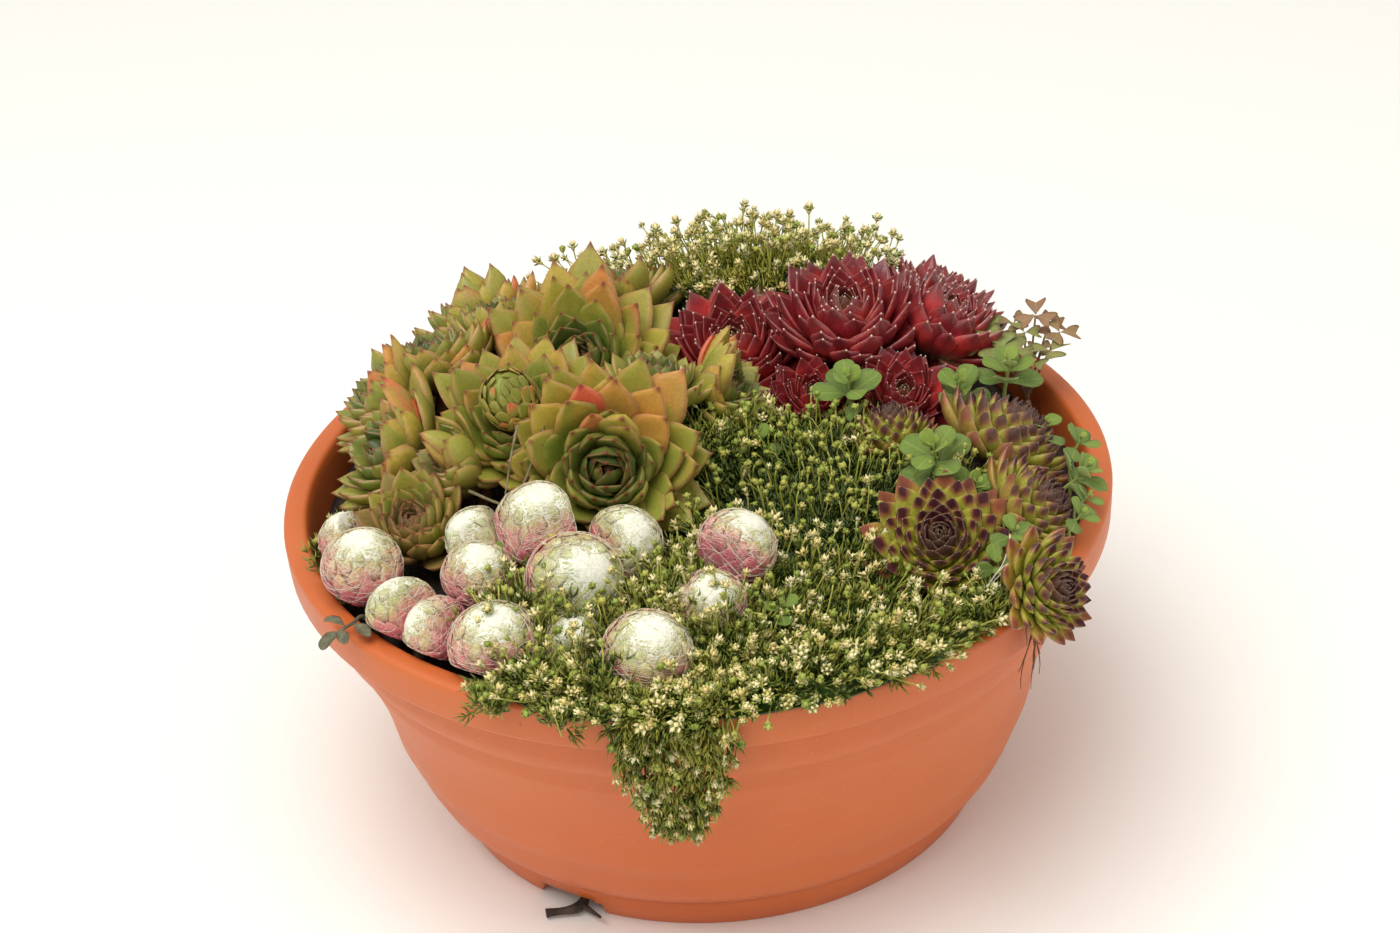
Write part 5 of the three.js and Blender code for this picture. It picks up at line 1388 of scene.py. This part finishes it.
def grow_seedlings():
    """Oregano seedlings: crossed pairs of round leaves up a stalk."""
    finish = oregano_leaf()
    small = [Plant("oregano", 11 + order, *row) for order, row in enumerate(SMALL_SEEDLINGS)]
    for plant in [*(plant for plant in plants if plant.kind == "oregano"), *small]:
        rng = draws(plant.name)
        heap, r = Heap(), plant.r
        pairs = 5 if r > 9.5 else 3
        heights = [r * (0.55 + 0.22 * pair) for pair in range(pairs)]
        for pair, height in enumerate(heights):
            age = 1 - pair / (pairs - 1)
            length = r * np.interp(age, (0, 0.25, 0.5, 0.75, 1), (0.3, 0.6, 0.85, 1.05, 1.1))
            for side in (0, 180):
                azimuth = side + 90 * pair + 35 * plant.order + rng.uniform(-14, 14)
                elevation = np.interp(age, (0, 0.5, 1), (70, 32, 8)) + rng.uniform(-8, 8)
                leaf = midrib(0.05 * r, height, azimuth, elevation, length, rng.uniform(-30, -6))
                points, places = leaf_points(*leaf, 0.76 * length, 0.5, "round", 0.1, wave=0.03)
                heap.add(pressed(plant, plant.placed(points)), LEAF_FACES, places, (age, 0.5, rng.random()))
        top = plant.placed(np.array((0, 0, heights[-1] + 0.5))[None])[0]
        ground = plant.foot.copy()
        ground[2] = min(soil_height(*ground[:2]), ground[2]) - 6
        line = curve_through((ground, plant.foot, (plant.foot + top) / 2, top), 12)
        points, stalk = tubes(line[None], np.linspace(0.075, 0.04, 12) * r, 6)
        heap.add(points, stalk, (0.3, 0.5, 0), (0.4, 0, 0.5))
        heap.piece(plant.name + "_leaves", finish, *([plant.name] if plant in plants else []), slot="oregano_leaves")


# ---- Sorrel, runner, twig, root and litter --------------------------------------------------------------

# Where the sorrel's leaves open; the ones whose numbers are in GREEN_SORREL are green and large.
SORREL = ((122, 35, 147), (123, 52, 150), (131, 49, 154), (139, 42, 150), (134, 32, 148), (112, 42, 150),
          (116, 36, 149), (119, 44, 145), (117, 52, 146), (126, 44, 150), (132, 39, 145), (127, 33, 143),
          (136, 50, 149))
GREEN_SORREL, SORREL_FOOT = (5, 6), (127.0, 43.0)
TWIG = ((-108, -76, 108), (-112.5, -79, 122), (-116, -81, 129.5), (-119, -86, 130.5), (-123, -90, 130.5))


def grow_sorrel():
    """A clump of leaves, each of three hearts on a thin bent stalk."""
    rng, heap = np.random.default_rng(SEEDS["sorrel"]), Heap()
    foot = np.array((*SORREL_FOOT, soil_height(*SORREL_FOOT)))
    for order, spot in enumerate(np.array(SORREL, float)):
        turn = upright_to(normalised(np.array((0.25 * math.cos(order * 2), 0.25 * math.sin(order * 2) - 0.2, 1))))
        green = order in GREEN_SORREL
        chance = 0.0 if green else rng.random()
        size = 10.0 if green else 7.4 if order < min(GREEN_SORREL) else 6.0
        for k in range(3):
            leaf = midrib(0.5, 0, 120 * k + 40 * order, 4, size, -30)
            points, places = leaf_points(*leaf, 1.05 * size, 0.22, "heart", 0.12, notch=0.24)
            heap.add(points @ turn.T + spot, LEAF_FACES, places, (0.5, 0.5, chance))
        bent = curve_through((foot + (0, 0, -4), foot + (0, 0, 9), (foot + spot) / 2 + (0, 0, 6), spot), 9)
        heap.add(*tubes(bent[None], 0.42, 5), (0.5, 0.5, 0), (0.5, 0.5, 0.9))
    crown = curve_through((foot + (0, 0, -6), foot + (0, 0, 4), foot + (0, 0, 9)), 6)
    heap.add(*tubes(crown[None], np.array((2.4, 2.2, 2.0, 1.8, 1.4, 0.8)), 8), (0.5, 0.5, 0), (0.5, 0.5, 0.8))
    heap.piece("sorrel_leaves", sorrel_leaf(), "sorrel", slot="sorrel")


def strand(heap, path, stations, radii, sides, chance):
    """A smooth closed stem through the points of a path."""
    heap.add(*tubes(curve_through(path, stations)[None], radii, sides), (0.5, 0, 0), (0.5, 0, chance))


def grow_runner():
    """The runner over the rim, with fine roots that hang from its end."""
    rng, heap = np.random.default_rng(SEEDS["runner"]), Heap()
    plant = next(plant for plant in plants if plant.name == OVERHANGING)
    azimuth = math.degrees(math.atan2(plant.heart[1], plant.heart[0]))
    end = plant.foot + plant.axis * (0.02 * plant.r)
    inside = polar(128, azimuth)
    start = polar(119, azimuth, soil_height(*inside[:2]) - 9)
    path = (start, polar(128, azimuth, BOWL_H - 3), polar(140, azimuth, BOWL_H + 3.6), end - plant.axis * 7, end)
    strand(heap, path, 30, 2.0 + 0.25 * np.sin(np.linspace(0, 26, 30)), 12, 0.6)
    roots, share = [], np.linspace(0, 1, 10)
    for k in range(9):
        drop = rng.uniform(12, 40)
        drift = rng.uniform(-3.2, 3.2)
        turn = azimuth + drift * share + 0.5 * np.sin(7 * share + k) * share
        r = np.interp(share, (0, 0.2, 1), (np.hypot(*end[:2]) - 2, 153.4, 152.4)) + 0.6 * np.sin(5 * share + 2 * k)
        z = end[2] - 1 - drop * share
        roots.append(around(r, np.radians(turn), z))
    heap.add(*tubes(np.array(roots), np.linspace(0.4, 0.12, 10), 4), (0.5, 0, 0), (0.5, 0, 0.1))
    heap.piece("runner_and_roots", dry_stuff("runner_skin", "4a3222", "8a5c3e"), "runner", slot="roots")


# The twig's leaves: root, tip and width.
TWIG_LEAVES = ((TWIG[3], (-113, -95, 130.4), 4.6), (TWIG[4], (-129, -99, 129.4), 5.2),
               ((-121, -88, 130.6), (-129, -83, 130.8), 4.4), (TWIG[2], (-108, -88, 131), 3.4),
               (TWIG[4], (-121, -98, 130.2), 4.2))


def grow_twig():
    """The dry sprig that leans over the rim."""
    heap = Heap()
    strand(heap, TWIG, 26, np.linspace(1.0, 0.5, 26), 7, 0.5)
    for root, tip, width in TWIG_LEAVES:
        root, ahead = np.array(root, float), np.array(tip, float) - root
        line = root + ahead * STATIONS[:, None] + UP * (1.2 * np.sin(np.pi * STATIONS))[:, None]
        across, face = normalised(np.cross(UP, ahead)), np.broadcast_to(UP, line.shape)
        points, places = leaf_points(line, across, face, width, 0.3, "round", 0.16, wave=0.05)
        heap.add(points, LEAF_FACES, places, (0.5, 0, 0.4))
    heap.piece("dry_twig", dry_stuff("dry_twig_skin", "4c4a38", "77745a"), "twig", slot="twig")


def drain_root():
    """A dark root that comes down through a drain hole and out under the foot ring, with a fork."""
    heap, azimuth = Heap(), NOTCHES[0]
    path = (polar(DRAIN_R, azimuth, 22), polar(DRAIN_R, azimuth, 5), polar(92, azimuth + 1, 3.6),
            polar(104, azimuth + 3, 3.2), polar(112, azimuth - 2, 2.4))
    strand(heap, path, 34, 1.7 + 0.35 * np.sin(np.linspace(0, 19, 34)), 9, 0.1)
    fork = (polar(103, azimuth + 3, 3.2), polar(106, azimuth + 6, 4.6), polar(109, azimuth + 9, 5.5))
    strand(heap, fork, 12, np.linspace(1.3, 0.5, 12), 7, 0.3)
    heap.piece("drain_root_bark", dry_stuff("drain_root_skin", "241c18", "4e4034"), "drain_root", slot="roots")


STRAWS = (((110, -101, 152), (103, -102, 146), (92, -106, 137)), ((102, -96, 151), (99, -102, 145), (92, -106, 137)),
          ((107, -103, 148), (98, -104, 144), (92, -106, 137)))
DEAD_STALKS = (((-47, -12, 176), (-52, -34, 168), (-60, -50, 156), (-66, -60, 149)),
               ((-60, -34, 172), (-63, -42, 164), (-66, -54, 154)),
               ((-78, -50, 157), (-66, -56, 154), (-56, -60, 156)))


def litter():
    """Withered leaves under the larger rosettes, straws and dead stalks."""
    rng, heap = np.random.default_rng(SEEDS["litter"]), Heap()
    for plant in plants:
        if plant.kind not in ("green", "red") or plant.r < 22:
            continue
        for _ in range(5):
            azimuth = rng.uniform(0, 360)
            length = plant.r * rng.uniform(0.4, 0.6)
            leaf = midrib(0.12 * plant.r, -0.02 * plant.r, azimuth, rng.uniform(-8, 14), length, -40)
            points, places = leaf_points(*leaf, 0.4 * length, 0.5, "red", 0.2, wave=0.08, coarse=True)
            heap.add(pressed(plant, plant.placed(points)), SCALE_FACES, places, (1, 0, rng.random()))
    heap.piece("withered_leaves", dry_stuff("withered_leaf", "3a2018", "7a4a34"), slot="twig")
    straws = Heap()
    for path in STRAWS:
        strand(straws, path, 14, np.linspace(0.3, 0.16, 14), 5, 0.9)
    straws.piece("white_straws", dry_stuff("straw", "cfc6b2", "efe8d8"), slot="twig")
    stalks = Heap()
    for path in DEAD_STALKS:
        strand(stalks, path, 16, np.linspace(0.55, 0.3, 16), 6, 0.5)
    stalks.piece("dead_stalks", dry_stuff("dead_stalk", "5c5238", "8a7c58"), slot="twig")


# ---- Stage --------------------------------------------------------------------------------------------

LENS, SENSOR, FARTHEST = 73.48, 36.0, 30.0  # millimetres, millimetres, metres
EYE = (0.001719, -0.887737, 0.665847)
RIGHT, ABOVE, AHEAD = ((0.99695862, -0.04031027, -0.06669782), (0.07793277, 0.51567098, 0.85323497),
                       (0, 0.85583791, -0.51724412))
# The floor's section from front to back: y and height.
FLOOR_LINE = ((-4.0, 0), (1.6, 0), (2.3, 0.08), (2.8, 0.35), (3.1, 0.9), (3.2, 4.0))
# Each light: its name, place, size, power and colour. All face the bowl.
LIGHTS = (("softbox_above", (-0.4, -0.45, 1.9), 1.5, 30, (1, 0.985, 0.96)),
          ("softbox_left", (-1.6, -1.3, 1.0), 1.5, 2, (1, 0.98, 0.95)),
          ("softbox_right", (1.7, -0.9, 1.0), 1.3, 4, (1, 0.99, 0.97)))
LIT = (0, 0, 0.12)
SKY, SKY_STRENGTH = (1, 0.99, 0.97, 1), 0.6


def camera():
    data = bpy.data.cameras.new("camera")
    data.lens, data.sensor_width, data.clip_end = LENS, SENSOR, FARTHEST
    eye = bpy.data.objects.new("camera", data)
    turned = Matrix((RIGHT, ABOVE, -Vector(AHEAD))).transposed().to_4x4()
    eye.matrix_world = Matrix.Translation(EYE) @ turned
    bpy.context.scene.collection.objects.link(eye)
    bpy.context.scene.camera = eye


def stage():
    """A pale floor that sweeps up behind, with a broad soft light above and an even sky."""
    heap, half_width = Heap(), 5.0
    points = np.array([(x, y, z) for y, z in FLOOR_LINE for x in (-half_width, half_width)]) / MM
    heap.add(points, [sheet_faces(len(FLOOR_LINE), 2)])
    look = Finish("pale_floor", Roughness=0.9)
    look.colour = look.ramp(look.noise(2.0), (0.3, "f7f6f0"), (0.7, "fbfaf5"))
    floor = heap.piece("floor", look.done())
    floor.parent = None  # it stands still, and is no piece of the part
    del floor["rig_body"]
    for name, place, size, power, colour in LIGHTS:
        light = bpy.data.lights.new(name, "AREA")
        light.size, light.energy, light.color = size, power, colour
        lamp = bpy.data.objects.new(name, light)
        lamp.location = place
        lamp.rotation_mode = "QUATERNION"
        lamp.rotation_quaternion = (Vector(LIT) - Vector(place)).to_track_quat("-Z", "Y")
        bpy.context.scene.collection.objects.link(lamp)
    world = bpy.data.worlds.new("studio")
    world.use_nodes = True
    background = world.node_tree.nodes["Background"]
    background.inputs["Color"].default_value = SKY
    background.inputs["Strength"].default_value = SKY_STRENGTH
    bpy.context.scene.world = world
    bpy.context.scene.view_settings.view_transform = "Standard"


camera()
stage()
bowl()
soil()
grow_rosettes()
grow_cobwebs()
grow_seedlings()
grow_pearlwort()
grow_sorrel()
grow_runner()
grow_twig()
drain_root()
litter()
